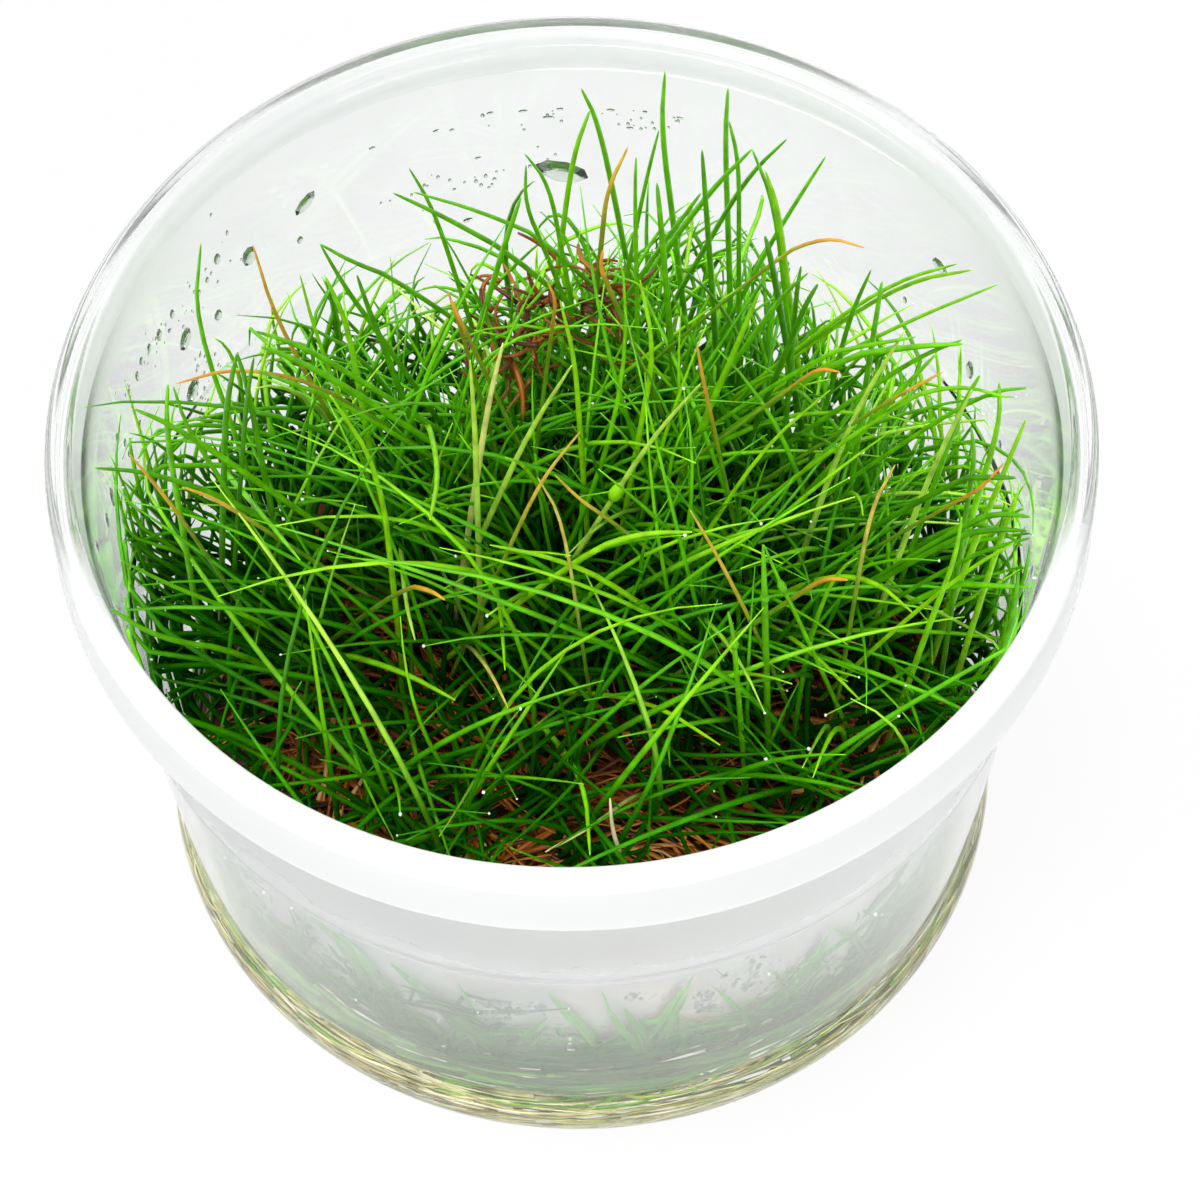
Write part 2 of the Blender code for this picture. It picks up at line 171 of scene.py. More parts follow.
# Puts arrays of corners, quads and triangles into a mesh; a layer has a pair of numbers for each corner
def meshPiece(name, corners, quads, triangles, material, **layers):
    corners = np.ascontiguousarray(corners, np.float32)
    quads = np.asarray(quads, np.int32).reshape(-1, 4)
    triangles = np.asarray(triangles, np.int32).reshape(-1, 3)
    loops = np.concatenate([quads.ravel(), triangles.ravel()]).astype(np.int32)
    sizes = np.concatenate([np.full(len(quads), 4), np.full(len(triangles), 3)])
    starts = np.concatenate([[0], np.cumsum(sizes)[:-1]]).astype(np.int32)
    mesh = bpy.data.meshes.new(name)
    mesh.vertices.add(len(corners))
    mesh.vertices.foreach_set("co", corners.ravel())
    mesh.loops.add(len(loops))
    mesh.loops.foreach_set("vertex_index", loops)
    mesh.polygons.add(len(sizes))
    mesh.polygons.foreach_set("loop_start", starts)
    mesh.polygons.foreach_set("use_smooth", np.ones(len(sizes), bool))
    for key, values in layers.items():
        layer = mesh.uv_layers.new(name=key)
        layer.data.foreach_set("uv", np.ascontiguousarray(values, np.float32)[loops].ravel())
    mesh.update(calc_edges=True)
    mesh.validate()
    mesh.materials.append(material)
    piece = bpy.data.objects.new(name, mesh)
    bpy.context.scene.collection.objects.link(piece)
    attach(piece, "root")
    return piece


# Rings of corners from below upwards, closed by a pole at each end
def ringPiece(name, rings, poles, material):
    rows, sides = rings.shape[:2]
    count = rows * sides
    corners = np.concatenate([rings.reshape(-1, 3), poles])
    ends = np.concatenate([fan(count, 0, sides, False), fan(count + 1, count - sides, sides, True)])
    return meshPiece(name, corners, gridFaces(rows, sides), ends, material)


# A section of (radius, height) points carried round the Z axis, whose first and last points lie on the axis
def turnedPiece(name, profile, sides, material):
    profile = np.array(profile, float)
    radius, height = profile[1:-1].T[..., None]
    poles = [[0, 0, profile[0, 1]], [0, 0, profile[-1, 1]]]
    return ringPiece(name, aroundAxis(radius, roundAngles(sides), height), poles, material)


# Tapering tubes: at each point of a path stands a ring, centre + radius * (cos a * side + sin a * lift), square to
# the path; fans of triangles close both ends
def tubes(paths, radius, sides):
    count, points = paths.shape[:2]
    tangent = np.gradient(paths, axis=1)
    tangent /= np.linalg.norm(tangent, axis=2, keepdims=True) + 1e-12
    chord = paths[:, -1] - paths[:, 0]
    guide = np.stack([-chord[:, 1], chord[:, 0], 0.2 * np.linalg.norm(chord, axis=1)], -1)
    side = np.cross(np.repeat(guide[:, None, :], points, 1), tangent)
    side /= np.linalg.norm(side, axis=2, keepdims=True) + 1e-12
    lift = np.cross(tangent, side)
    angle = roundAngles(sides)
    ring = side[:, :, None, :] * np.cos(angle)[:, None] + lift[:, :, None, :] * np.sin(angle)[:, None]
    corners = paths[:, :, None, :] + ring * radius[:, :, None, None]
    j = np.arange(1, sides - 1)
    root = np.stack([np.zeros(sides - 2, int), j + 1, j], -1)
    tip = np.stack([np.zeros(sides - 2, int), j, j + 1], -1) + (points - 1) * sides
    size = points * sides
    triangles = repeated(np.concatenate([root, tip]), count, size)
    return corners.reshape(-1, 3), repeated(gridFaces(points, sides), count, size), triangles


# Tubes as one piece: in the layer tone, U is the tube's own tone and V its share of the way from root to tip, and in
# the layer depth, where the piece gets painted shade, U is the depth below the top of the mound with the painted shade
# of the rim, the front and the left added
def tubePiece(name, paths, radius, sides, tone, material, shade=None):
    count, points = paths.shape[:2]
    corners, quads, triangles = tubes(paths, radius, sides)
    u = np.repeat(tone[:, None], points, 1)
    v = np.repeat(np.linspace(0, 1, points)[None], count, 0)
    layers = {"tone": np.repeat(np.stack([u, v], -1)[:, :, None, :], sides, 2).reshape(-1, 2)}
    if shade:
        layers["depth"] = paintedShadeBelow(corners, *shade)
    return meshPiece(name, corners, quads, triangles, material, **layers)


# A material with its node tree and its main shader
def newMaterial(name):
    material = bpy.data.materials.new(name)
    material.use_nodes = True
    return material, material.node_tree, material.node_tree.nodes["Principled BSDF"]


# Gives an input a number, a colour or what another node puts out
def feed(tree, value, socket):
    if isinstance(value, bpy.types.NodeSocket):
        tree.links.new(value, socket)
    else:
        socket.default_value = (*value, 1) if isinstance(value, tuple) else value


# Feeds a node's inputs from a dictionary by name or place
def feedAll(tree, node, values):
    for key, value in values.items():
        feed(tree, value, node.inputs[key])


# A node with its settings and inputs
def addNode(tree, kind, inputs, **settings):
    node = tree.nodes.new(kind)
    for key, value in settings.items():
        setattr(node, key, value)
    feedAll(tree, node, inputs)
    return node


# One step of arithmetic on numbers or on what nodes put out
def arithmetic(tree, operation, *values, clamp=False):
    return addNode(tree, "ShaderNodeMath", dict(enumerate(values)), operation=operation, use_clamp=clamp).outputs[0]


# First colour where the factor is 0, second where it is 1, or their product
def blended(tree, factor, first, second, way="MIX"):
    inputs = {0: factor, 6: first, 7: second}
    return addNode(tree, "ShaderNodeMix", inputs, data_type="RGBA", blend_type=way).outputs[2]


# Colours or greys at places between 0 and 1, joined by straight lines
def colourRamp(tree, factor, stops):
    node = addNode(tree, "ShaderNodeValToRGB", {0: factor})
    while len(node.color_ramp.elements) < len(stops):
        node.color_ramp.elements.new(0.5)
    for element, (place, colour) in zip(node.color_ramp.elements, stops):
        element.position = place
        element.color = (*colour, 1) if isinstance(colour, tuple) else (colour, colour, colour, 1)
    return node.outputs[0]


# A number that runs from low to high while the factor runs from start to end
def mapped(tree, factor, start, end, low, high):
    return addNode(tree, "ShaderNodeMapRange", dict(enumerate((factor, start, end, low, high)))).outputs[0]


# X, Y and Z in the object's own metres, or U and V of a layer
def coordinates(tree, layer=None):
    if layer:
        source = addNode(tree, "ShaderNodeUVMap", {}, uv_map=layer).outputs[0]
    else:
        source = addNode(tree, "ShaderNodeTexCoord", {}).outputs["Object"]
    return addNode(tree, "ShaderNodeSeparateXYZ", {0: source}).outputs


# Noise with so many waves to the metre
def noiseOf(tree, scale, detail=3.0):
    place = addNode(tree, "ShaderNodeTexCoord", {}).outputs["Object"]
    return addNode(tree, "ShaderNodeTexNoise", {"Vector": place, "Scale": scale, "Detail": detail}).outputs[0]


# Lamp light passes the clear pieces straight, so that what stands inside them is lit
def letLampsThrough(tree, shader, tint):
    shadow = addNode(tree, "ShaderNodeLightPath", {}).outputs["Is Shadow Ray"]
    clear = addNode(tree, "ShaderNodeBsdfTransparent", {0: tint}).outputs[0]
    mix = addNode(tree, "ShaderNodeMixShader", {0: shadow, 1: shader.outputs[0], 2: clear})
    tree.links.new(mix.outputs[0], tree.nodes["Material Output"].inputs[0])


# Clear plastic: milky in the rim and the lid band, where the nearly opaque white of the front rim is painted glare,
# fogged at the front below it, where a painted green tint stands for the plants' light scattered in the fog, and clear
# again in the foot; each is a ramp over the height, blended from the back to the front
def plasticMaterial():
    material, tree, surface = newMaterial("clearPlastic")
    y, z = coordinates(tree)[1:]
    height, front = mapped(tree, z, 0, cup["height"], 0, 1), mapped(tree, y, -0.022, -0.008, 1, 0)
    fog, plain = noiseOf(tree, 160.0, 1.0), (0.99, 1.0, 1.0)
    # The third ramp is the painted green light from the plants in the fogged band at the front
    clear, rough, tint = (blended(tree, front, behind, colourRamp(tree, height, ahead)) for behind, ahead in (
        (colourRamp(tree, height, [(0.0, 1.0), (0.87, 1.0), (1.0, 0.95)]),
         [(0.0, 1.0), (0.128, 1.0), (0.138, 0.95), (0.30, 0.93), (0.42, 0.87), (0.57, 0.83), (0.60, 0.64), (0.87, 0.55),
          (0.885, 0.08), (1.0, 0.03)]),
        (colourRamp(tree, height, [(0.0, 0.0), (0.87, 0.0), (0.9, 0.1), (1.0, 0.12)]),
         [(0.0, 0.0), (0.57, 0.0), (0.60, 0.25), (1.0, 0.4)]),
        (plain, [(0.0, plain), (0.132, plain), (0.142, (0.88, 0.93, 0.80)), (0.33, (0.92, 0.96, 0.87)),
                 (0.52, plain)])))
    clear = arithmetic(tree, "MULTIPLY", clear, mapped(tree, fog, 0.3, 0.7, 1.02, 0.97), clamp=True)
    rough = arithmetic(tree, "MULTIPLY", rough, mapped(tree, fog, 0.1, 0.9, 0.9, 1.1), clamp=True)
    feedAll(tree, surface, {"Base Color": tint, "IOR": 1.45, "Transmission Weight": clear, "Roughness": rough})
    letLampsThrough(tree, surface, (0.96, 0.97, 0.97))
    return material


# Points of a circle in the section, from one angle to another in degrees
def arc(centre, middle, radius, start, end, steps):
    angle = np.radians(np.linspace(start, end, steps + 1))
    return list(zip(centre + radius * np.cos(angle), middle + radius * np.sin(angle)))


# The inside of the base from the axis outwards, with a soft slope down from its raised middle
def floorProfile(lift):
    share = np.linspace(0, 1, 7)
    radius = cup["recessRadius"] - cup["recessDepth"] * (1 - share)
    height = cup["wall"] + cup["recessDepth"] * (0.5 + 0.5 * np.cos(np.pi * share)) + lift
    return [(0, height[0]), (0.4 * cup["recessRadius"], height[0])] + list(zip(radius, height))


# The section runs along the underside, up the outside, over the rim and its band, and down the inside
def makeCup(material):
    foot, wall, angle = cup["footCurve"], cup["wall"], math.degrees(footAngle)
    roof, outside = cup["height"] - wall, cup["mouth"] + cup["rimWidth"]
    lip, band, rim, mouth = cup["lipRound"], cup["bandRound"], cup["rimRound"], cup["mouthRound"]
    low = np.linspace(cup["creaseHeight"], cup["shoulder"], 14)[1:]
    low = np.concatenate([low[:-1], [low[-1] - cup["crisp"], low[-1]]])
    high = np.linspace(cup["shoulder"] + cup["stepRise"], roof - lip, 12)
    high = np.concatenate([[high[0], high[0] + cup["crisp"]], high[1:]])
    profile = [(r, z - wall) for r, z in floorProfile(0)]
    profile += arc(footCentre, foot, foot, -90, angle, 16)
    profile += list(zip(outerWall(low), low)) + list(zip(outerWall(high), high))
    profile += arc(float(outerWall(roof)) + lip, roof - lip, lip, 180, 90, 5)
    profile += arc(outside - wall - band, roof - band, band, 90, 0, 4)
    profile += arc(outside - wall / 2, cup["height"] - cup["lidBand"] + wall / 2, wall / 2, 180, 360, 10)
    profile += arc(outside - rim, cup["height"] - rim, rim, 0, 90, 7)
    profile += arc(cup["mouth"] + mouth, cup["height"] - mouth, mouth, 90, 180, 6)
    profile += list(zip(outerWall(high[::-1][1:]) - wall, high[::-1][1:]))
    profile += list(zip(outerWall(low[::-1]) - wall, low[::-1]))
    profile += arc(footCentre, foot, foot - wall, angle, -90, 16)
    profile += list(reversed(floorProfile(0)))
    piece = turnedPiece("cupShell", profile, cup["sides"], material)
    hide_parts("cup")


film = {"inset": 0.0017, "thick": 0.0001, "low": 0.0138, "high": 0.0362, "start": -165, "end": -15, "columns": 76,
        "rows": 9, "sideLift": 0.24}


# Condensation: a thin milky sheet that thins out below, where it reaches lower the farther it is to the side, and
# towards both ends
def filmMaterial():
    material, tree, surface = newMaterial("mistFilm")
    x, y, z = coordinates(tree)
    level = arithmetic(tree, "MULTIPLY_ADD", arithmetic(tree, "ABSOLUTE", x), film["sideLift"], z)
    rise, front = mapped(tree, level, 0.0165, 0.024, 0, 1), mapped(tree, y, -0.012, -0.022, 0, 1)
    amount = arithmetic(tree, "MULTIPLY", rise, front)
    uneven = arithmetic(tree, "MULTIPLY", amount, mapped(tree, noiseOf(tree, 140.0, 1.0), 0.2, 0.8, 0.85, 1.1))
    feedAll(tree, surface, {"Base Color": (1, 1, 1), "IOR": 1.02, "Roughness": mapped(tree, amount, 0, 1, 0.0, 0.25),
                            "Transmission Weight": mapped(tree, uneven, 0, 1, 1.0, 0.66)})
    letLampsThrough(tree, surface, (0.97, 0.97, 0.97))
    return material


# Mist on the inside of the front wall, behind the blades that touch it: the closed section of a thin sheet, carried
# round part of a turn and capped at both ends
def makeFilm(material):
    z = np.linspace(film["low"], film["high"], film["rows"])
    outer = innerWall(z) - film["inset"]
    radius = np.concatenate([outer, outer[::-1] - film["thick"]])
    height = np.concatenate([z, z[::-1]])
    angle = np.radians(np.linspace(film["start"], film["end"], film["columns"]))
    corners = aroundAxis(radius, angle[:, None], height).reshape(-1, 3)
    quads = gridFaces(len(angle), len(radius))[:, ::-1]
    k = np.arange(film["rows"] - 1)
    over = 2 * film["rows"] - 1 - k
    first = np.stack([k + 1, over - 1, over, k], -1)
    last = first[:, ::-1] + (len(angle) - 1) * len(radius)
    piece = meshPiece("mistFilm", corners, np.concatenate([quads, first, last]), [], material)


gel = {"height": 0.0078, "climb": 0.0007, "climbWidth": 0.002, "wetting": 0.00008, "sides": 120}


# Clear gel, clouded a little by slow noise
def gelMaterial():
    material, tree, surface = newMaterial("nutrientGel")
    cloud = colourRamp(tree, noiseOf(tree, 90.0, 1.0), [(0.3, (0.98, 0.98, 0.9)), (0.7, (0.95, 0.96, 0.84))])
    feedAll(tree, surface, {"Base Color": cloud, "IOR": 1.34, "Transmission Weight": 1, "Roughness": 0})
    letLampsThrough(tree, surface, (0.97, 0.97, 0.92))
    return material


# The gel fills the floor and the foot's curve, and its surface climbs a little where it meets the wall; it wets the
# plastic, so that its skin lies a hair inside it and no film of air is left between them
def makeGel(material):
    wetting = gel["wetting"]
    side = arc(footCentre, cup["footCurve"], cup["footCurve"] - cup["wall"] + wetting, -90, 30, 16)
    edge = side[-1][0]
    inward = np.linspace(0, 1, 9)[1:]
    profile = floorProfile(-wetting) + side + [(edge, gel["height"] + gel["climb"])]
    profile += [(edge - s * gel["climbWidth"], gel["height"] + gel["climb"] * (1 - s) ** 2) for s in inward]
    profile += [(r, gel["height"]) for r in np.linspace(edge - gel["climbWidth"], 0, 12)[1:]]
    piece = turnedPiece("gelBody", profile, gel["sides"], material)
    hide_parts("nutrient_gel")


# Colour by the tone of each strand, darkened at its root, which for the green blades is painted shade, and lightened at
# its tip, and with a colour of its own at the foot where one is given; where painted shade is asked for, colour and
# shine also fall off with the depth below the top of the mound, as painted shade
def strandMaterial(name, tones, root=1.0, tip=1.0, rough=0.4, foot=None, paintedShade=False):
    material, tree, surface = newMaterial(name)
    own, along = coordinates(tree, "tone")[:2]
    ends = colourRamp(tree, along, [(0.0, root), (0.4, 1.0), (0.97, 1.0), (1.0, tip)])
    tinted, shine = blended(tree, 1, colourRamp(tree, own, tones), ends, "MULTIPLY"), 0.4
    if foot:
        tinted = blended(tree, mapped(tree, along, 0.35, 0.6, 0, 1), foot, tinted)
    if paintedShade:
        # Painted shade: deeper in the mound the colour darkens towards a deep green and the shine fades
        depth = coordinates(tree, "depth")[0]
        fall = colourRamp(tree, depth, [(0.0, 1.0), (0.35, 1.0), (0.7, (0.4, 0.62, 0.3)), (1.0, (0.07, 0.2, 0.04))])
        tinted, shine = blended(tree, 1, tinted, fall, "MULTIPLY"), mapped(tree, depth, 0.35, 1.0, shine, 0.0)
    streak = noiseOf(tree, 500.0, 1.0)
    streaked = {"Value": mapped(tree, streak, 0.25, 0.75, 0.75, 1.25), "Color": tinted}
    feedAll(tree, surface, {"Base Color": addNode(tree, "ShaderNodeHueSaturation", streaked).outputs[0],
                            "Roughness": mapped(tree, streak, 0, 1, rough - 0.08, rough + 0.08),
                            "Specular IOR Level": shine})
    return material


strands = {"points": 14, "sides": 4, "floor": 0.0016, "tilt": 0.0016, "swing": 0.0003, "sway": 0.0002, "depth": 0.008,
           "inset": 0.0005}


# Roots and shoots that run round inside the wall: each follows the wall for part of a turn, less a depth of its own,
# on a slope of its own, while its height and depth swing by slow sines
def makeGelStrands(name, random, count, material, thick, lowest, highest, span):
    share = np.linspace(0, 1, strands["points"])
    start = random.uniform(0, 2 * np.pi, count)
    length = random.uniform(*span, count) * random.choice([-1, 1], count)
    swing = random.uniform(0, 2 * np.pi, (3, count))[..., None]
    tilt = random.uniform(-strands["tilt"], strands["tilt"], count)[:, None] * (share - 0.5)
    z = random.uniform(lowest, highest, count)[:, None] + tilt + strands["swing"] * np.sin(share * 4 + swing[0])
    z = np.clip(z, strands["floor"], highest)
    depth = strands["depth"] * random.uniform(0, 1, count)[:, None] ** 3
    depth = depth + strands["sway"] * np.sin(share * 5 + swing[1])
    radius = innerWall(z) - strands["inset"] - np.abs(depth)
    angle = start[:, None] + length[:, None] * share
    paths = aroundAxis(radius, angle, z)
    girth = random.uniform(*thick, count)[:, None] * (1 - 0.6 * share ** 3)
    piece = tubePiece(name, paths, girth, strands["sides"], random.uniform(0, 1, count), material)


mat = {"middle": 0.0175, "edge": 0.0118, "gap": 0.0008, "lump": 0.0012, "recess": 0.006, "recessAngle": -105,
       "recessWidth": 32, "sides": 150, "aboveGel": 0.0002, "roll": 0.0006, "foot": 0.0005, "buried": 0.0005}
matRadius = float(innerWall(mat["edge"])) - mat["gap"]


# Distance from the axis to the mat's edge on the side of (x, y): the full radius less a bell curve round the recess
def matReach(x, y):
    turn = (np.degrees(np.arctan2(y, x)) - mat["recessAngle"] + 180) % 360 - 180
    return matRadius - mat["recess"] * np.exp(-(turn / mat["recessWidth"]) ** 2)


# Draws places (x, y) in towards the axis until they are inside the mat's edge by the margin
def ontoMat(places, margin):
    far = np.maximum(np.hypot(places[..., 0], places[..., 1]), 1e-6)
    return places * np.minimum(1, (matReach(places[..., 0], places[..., 1]) - margin) / far)[..., None]


# Surface height: a low dome plus the sum of three crossed waves
def matHeight(x, y):
    share = np.minimum(np.hypot(x, y) / matReach(x, y), 1)
    wave = (np.sin(610 * x + 1.3) * np.cos(540 * y) + 0.6 * np.sin(930 * (x + y) + 0.4)
            + 0.5 * np.cos(1270 * (x - 0.7 * y)))
    return mat["middle"] + (mat["edge"] - mat["middle"]) * share ** 2 + mat["lump"] * wave / 2.1 * (1 - share ** 6)


# Corners (x, y, z) just under the mat's surface, where roots start
def buried(places):
    return np.concatenate([places, matHeight(places[:, 0], places[:, 1])[:, None] - mat["buried"]], 1)


# Brown by the lumps of a fine noise, which also roughen and raise it
def matMaterial():
    material, tree, surface = newMaterial("rootMat")
    lumps = noiseOf(tree, 240.0, 5.0)
    colour = colourRamp(tree, lumps, [(0.3, (0.01, 0.003, 0.0006)), (0.5, (0.06, 0.017, 0.002)),
                                      (0.68, (0.22, 0.06, 0.006))])
    bump = addNode(tree, "ShaderNodeBump", {"Strength": 0.8, "Distance": 0.0008, "Height": lumps}).outputs[0]
    feedAll(tree, surface, {"Base Color": colour, "Roughness": mapped(tree, lumps, 0, 1, 0.35, 0.7),
                            "Specular IOR Level": 0.2, "Normal": bump})
    return material


# A round cake: rings of the lumpy top, a wavering side that draws back at the front, and a flat underside on the gel
def makeMat(random, material):
    angle = roundAngles(mat["sides"])
    reach = matReach(np.cos(angle), np.sin(angle))
    reach -= 0.0005 * (1 + np.sin(9 * angle + 1)) * 0.5 + 0.0003 * (1 + np.sin(23 * angle))
    share = np.concatenate([np.linspace(0.03, 0.97, 44), [1.0, 1.0, 0.98]])
    x, y = share[:, None] * reach * np.cos(angle), share[:, None] * reach * np.sin(angle)
    z = matHeight(x, y)
    low = gel["height"] + mat["aboveGel"]
    z[-3] -= mat["roll"]
    z[-2], z[-1] = low + mat["foot"], low
    poles = [[0, 0, low], [0, 0, float(matHeight(0.0, 0.0))]]
    piece = ringPiece("rootCake", np.stack([x, y, z], -1)[::-1], poles, material)
    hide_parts("root_mat")


curls = {"points": 8, "sides": 4, "flat": 0.7, "turn": 2.6, "climb": (-0.7, 0.9), "length": (0.003, 0.006),
         "girth": (0.00016, 0.0004), "tone": (0.15, 0.72),
         # Pixel, height, spread and number of each ball
         "balls": [(562, 316, 0.047, 0.0021, 40), (503, 350, 0.046, 0.0014, 20), (600, 282, 0.050, 0.0012, 12)]}


# Dead leaves caught among the blades at the back: balls of short curls, whose places spread by a normal law round the
# middle and whose headings turn evenly along each
def makeDeadClump(random, material):
    places = np.concatenate([pixelsAtHeight([[x, y]], z) + random.normal(0, spread, (n, 3)) * [1, 1, curls["flat"]]
                             for x, y, z, spread, n in curls["balls"]])
    count, share = len(places), np.linspace(0, 1, curls["points"])
    turn = random.uniform(0, 2 * np.pi, count), random.uniform(-curls["turn"], curls["turn"], count)
    rise = random.uniform(*curls["climb"], count), random.uniform(-1, 1, count)
    way, climb = (start[:, None] + change[:, None] * share for start, change in (turn, rise))
    step = (random.uniform(*curls["length"], count) / (curls["points"] - 1))[:, None, None]
    paths = places[:, None] + np.cumsum(aroundAxis(np.cos(climb), way, np.sin(climb)) * step, 1)
    girth = random.uniform(*curls["girth"], count)[:, None] * (1 - 0.6 * share)
    tone = random.uniform(*curls["tone"], count)
    piece = tubePiece("deadClump", paths, girth, curls["sides"], tone, material)


shreds = {"count": 2000, "points": 7, "sides": 3, "spread": (0.02, 0.97), "scatter": 0.5, "length": (0.006, 0.022),
          "curl": 0.9, "inside": 0.0006, "hump": 0.0022, "lift": 0.0014, "thin": 0.0001, "thicker": 0.0003}


# Dead leaves and roots lying on the mat: arcs that bend in the plane and rise a little in the middle, with headings
# that follow crossed waves, so that they lie in swathes
def makeShreds(random, material):
    count, share = shreds["count"], np.linspace(0, 1, shreds["points"])
    radius = matRadius * np.sqrt(random.uniform(*shreds["spread"], count))
    angle = random.uniform(0, 2 * np.pi, count)
    startX, startY = radius * np.cos(angle), radius * np.sin(angle)
    swathe = -0.5 + 1.1 * np.sin(130 * startX + 0.6) * np.cos(110 * startY)
    heading = swathe + random.normal(0, shreds["scatter"], count)
    step = random.uniform(*shreds["length"], count)[:, None] / (shreds["points"] - 1)
    way = heading[:, None] + random.uniform(-shreds["curl"], shreds["curl"], count)[:, None] * share
    x = startX[:, None] + np.cumsum(np.cos(way) * step, 1)
    y = startY[:, None] + np.cumsum(np.sin(way) * step, 1)
    x, y = np.moveaxis(ontoMat(np.stack([x, y], -1), shreds["inside"]), -1, 0)
    hump = random.uniform(0, shreds["hump"], count)[:, None] * np.sin(np.pi * share)
    hump = hump + random.uniform(0, shreds["lift"], count)[:, None]
    girth = shreds["thin"] + shreds["thicker"] * random.uniform(0, 1, count) ** 2
    paths, tone = np.stack([x, y, matHeight(x, y) + hump], -1), random.uniform(0, 1, count)
    piece = tubePiece("deadLeaves", paths, girth[:, None] * (1 - 0.5 * share), shreds["sides"], tone, material)


grass = {
    # Tufts on the mat, and bundles of blades in each
    "tufts": 44, "fieldRadius": 0.0325, "bundles": 5, "blades": 9, "bundleReach": 0.005,
    "radius": (0.00022, 0.00033), "length": (0.034, 0.078), "points": 12, "sides": 5, "long": 0.07,
    # Share that grows by the place from front to back; then bare spots with their spread and loss
    "thinning": ([-0.030, -0.014, -0.006, 0.002, 0.010, 0.018, 0.030], [0.12, 0.24, 0.45, 0.85, 1.0, 1.0, 0.75]),
    "clearings": [(-0.025, -0.001, 0.010, 0.6), (0.001, 0.026, 0.005, 0.7)],
    # The mound's top, its edge height all round, and the power by which it falls from the one to the other
    "top": 0.072, "edgeAngle": [-165, -150, -120, -90, -60, -30, -12, 0, 25, 45, 70, 90, 110, 135, 155, 175],
    "edgeHeight": [0.044, 0.036, 0.030, 0.028, 0.030, 0.038, 0.046, 0.050, 0.044, 0.041, 0.045, 0.040, 0.038, 0.041,
                   0.045, 0.057],
    "fallAngle": [-150, -120, -60, -20, 10, 170], "fall": [1.1, 0.8, 0.8, 1.2, 1.6, 1.6], "edgeRadius": 0.037,
    # How roots, leans, bends, heights, gaps and tones spread
    "ceiling": 0.0765, "overMat": 0.0002, "outward": 0.5, "bundleLean": 0.34, "rootSpread": 0.0007, "inside": 0.0015,
    "bladeLean": 0.2, "aside": 0.8, "droop": -0.4, "bend": (0.2, 1.55), "under": (0.6, 1.03), "longUnder": 1.15,
    "offWall": (0.0004, 0.0012), "tone": (2.2, 2.0), "middleRadius": 0.014, "beadEvery": 5,
}


# The tufts' crowns stand on a spiral whose angle steps by the golden angle and whose radius grows as a square root,
# drawn in where the mat's edge is
def crownPlaces():
    i = np.arange(grass["tufts"])
    angle = i * np.pi * (3 - math.sqrt(5))
    radius = grass["fieldRadius"] * np.sqrt((i + 0.5) / (grass["tufts"] - 0.5))
    radius *= matReach(np.cos(angle), np.sin(angle)) / matRadius
    return np.stack([radius * np.cos(angle), radius * np.sin(angle)], -1)


# The height that most blades reach over a place: from the middle's height to that of the edge on the same side, by a
# power of the distance that makes the mound fall off sooner at the front
def moundHeight(x, y):
    angle = np.degrees(np.arctan2(y, x))
    side = np.interp(angle, grass["edgeAngle"], grass["edgeHeight"], period=360)
    fall = np.interp(angle, grass["fallAngle"], grass["fall"], period=360)
    share = np.clip(np.hypot(x, y) / grass["edgeRadius"], 0, 1.1)
    return grass["top"] + (side - grass["top"]) * share ** fall


# Runs from 0 to 1 while the value goes on from the start by the run, which may be downwards
def rising(value, start, run):
    return np.clip((value - start) / run, 0, 1)


# How the painted shade on the blades grows: over what share of the mound's height it spreads with depth, and how strong
# it is at the front and at the left
shades = {
    "depth": 0.55, "front": 0.55, "left": 0.25,
    # Start and run of each painted shade: out from the axis, to the front and down for the rim's shade, then the other
    # two
    "outwards": (0.030, 0.006), "forwards": (0, -0.015), "downwards": (0.05, -0.01),
    "atFront": (-0.012, -0.015), "atLeft": (-0.012, -0.02),
}


# Painted shade for the blades: depth below the top of the mound as a share of a little over half its height, times the
# strength, with more of it towards the front and the left and along the front wall, which stand in the shade of the
# rim; the blades' colour darkens by it
def paintedShadeBelow(corners, strength=1.0, rim=0.6):
    x, y, z = corners.T
    top = moundHeight(x, y)
    share = np.clip((top - z) / (shades["depth"] * top), 0, 1) * strength
    rimShade = rising(np.hypot(x, y), *shades["outwards"]) * rising(y, *shades["forwards"])
    rimShade = rimShade * rising(z, *shades["downwards"])
    frontShade, leftShade = rising(y, *shades["atFront"]) * strength, rising(x, *shades["atLeft"])
    total = share + rim * rimShade + shades["front"] * frontShade + shades["left"] * leftShade * strength
    return np.stack([np.clip(total, 0, 1), np.zeros(len(share))], -1)


# Share of the blades that grow at a place: fewer at the front, and fewer still round the clearings
def growthAt(x, y):
    share = np.interp(y, *grass["thinning"])
    for middleX, middleY, spread, loss in grass["clearings"]:
        share = share * (1 - loss * np.exp(-((x - middleX) ** 2 + (y - middleY) ** 2) / spread ** 2))
    return share


# A blade starts along lean and turns towards sway by bend * share ^ 1.5; its path is the running sum of its headings
def bladePaths(roots, lean, sway, length, bend, points):
    share = np.linspace(0, 1, points)
    turn = bend[:, None] * share ** 1.5
    heading = lean[:, None, :] * np.cos(turn)[..., None] + sway[:, None, :] * np.sin(turn)[..., None]
    step = 0.5 * (heading[:, 1:] + heading[:, :-1]) * (length / (points - 1))[:, None, None]
    run = np.concatenate([np.zeros((len(roots), 1, 3)), np.cumsum(step, 1)], 1)
    return roots[:, None, :] + run


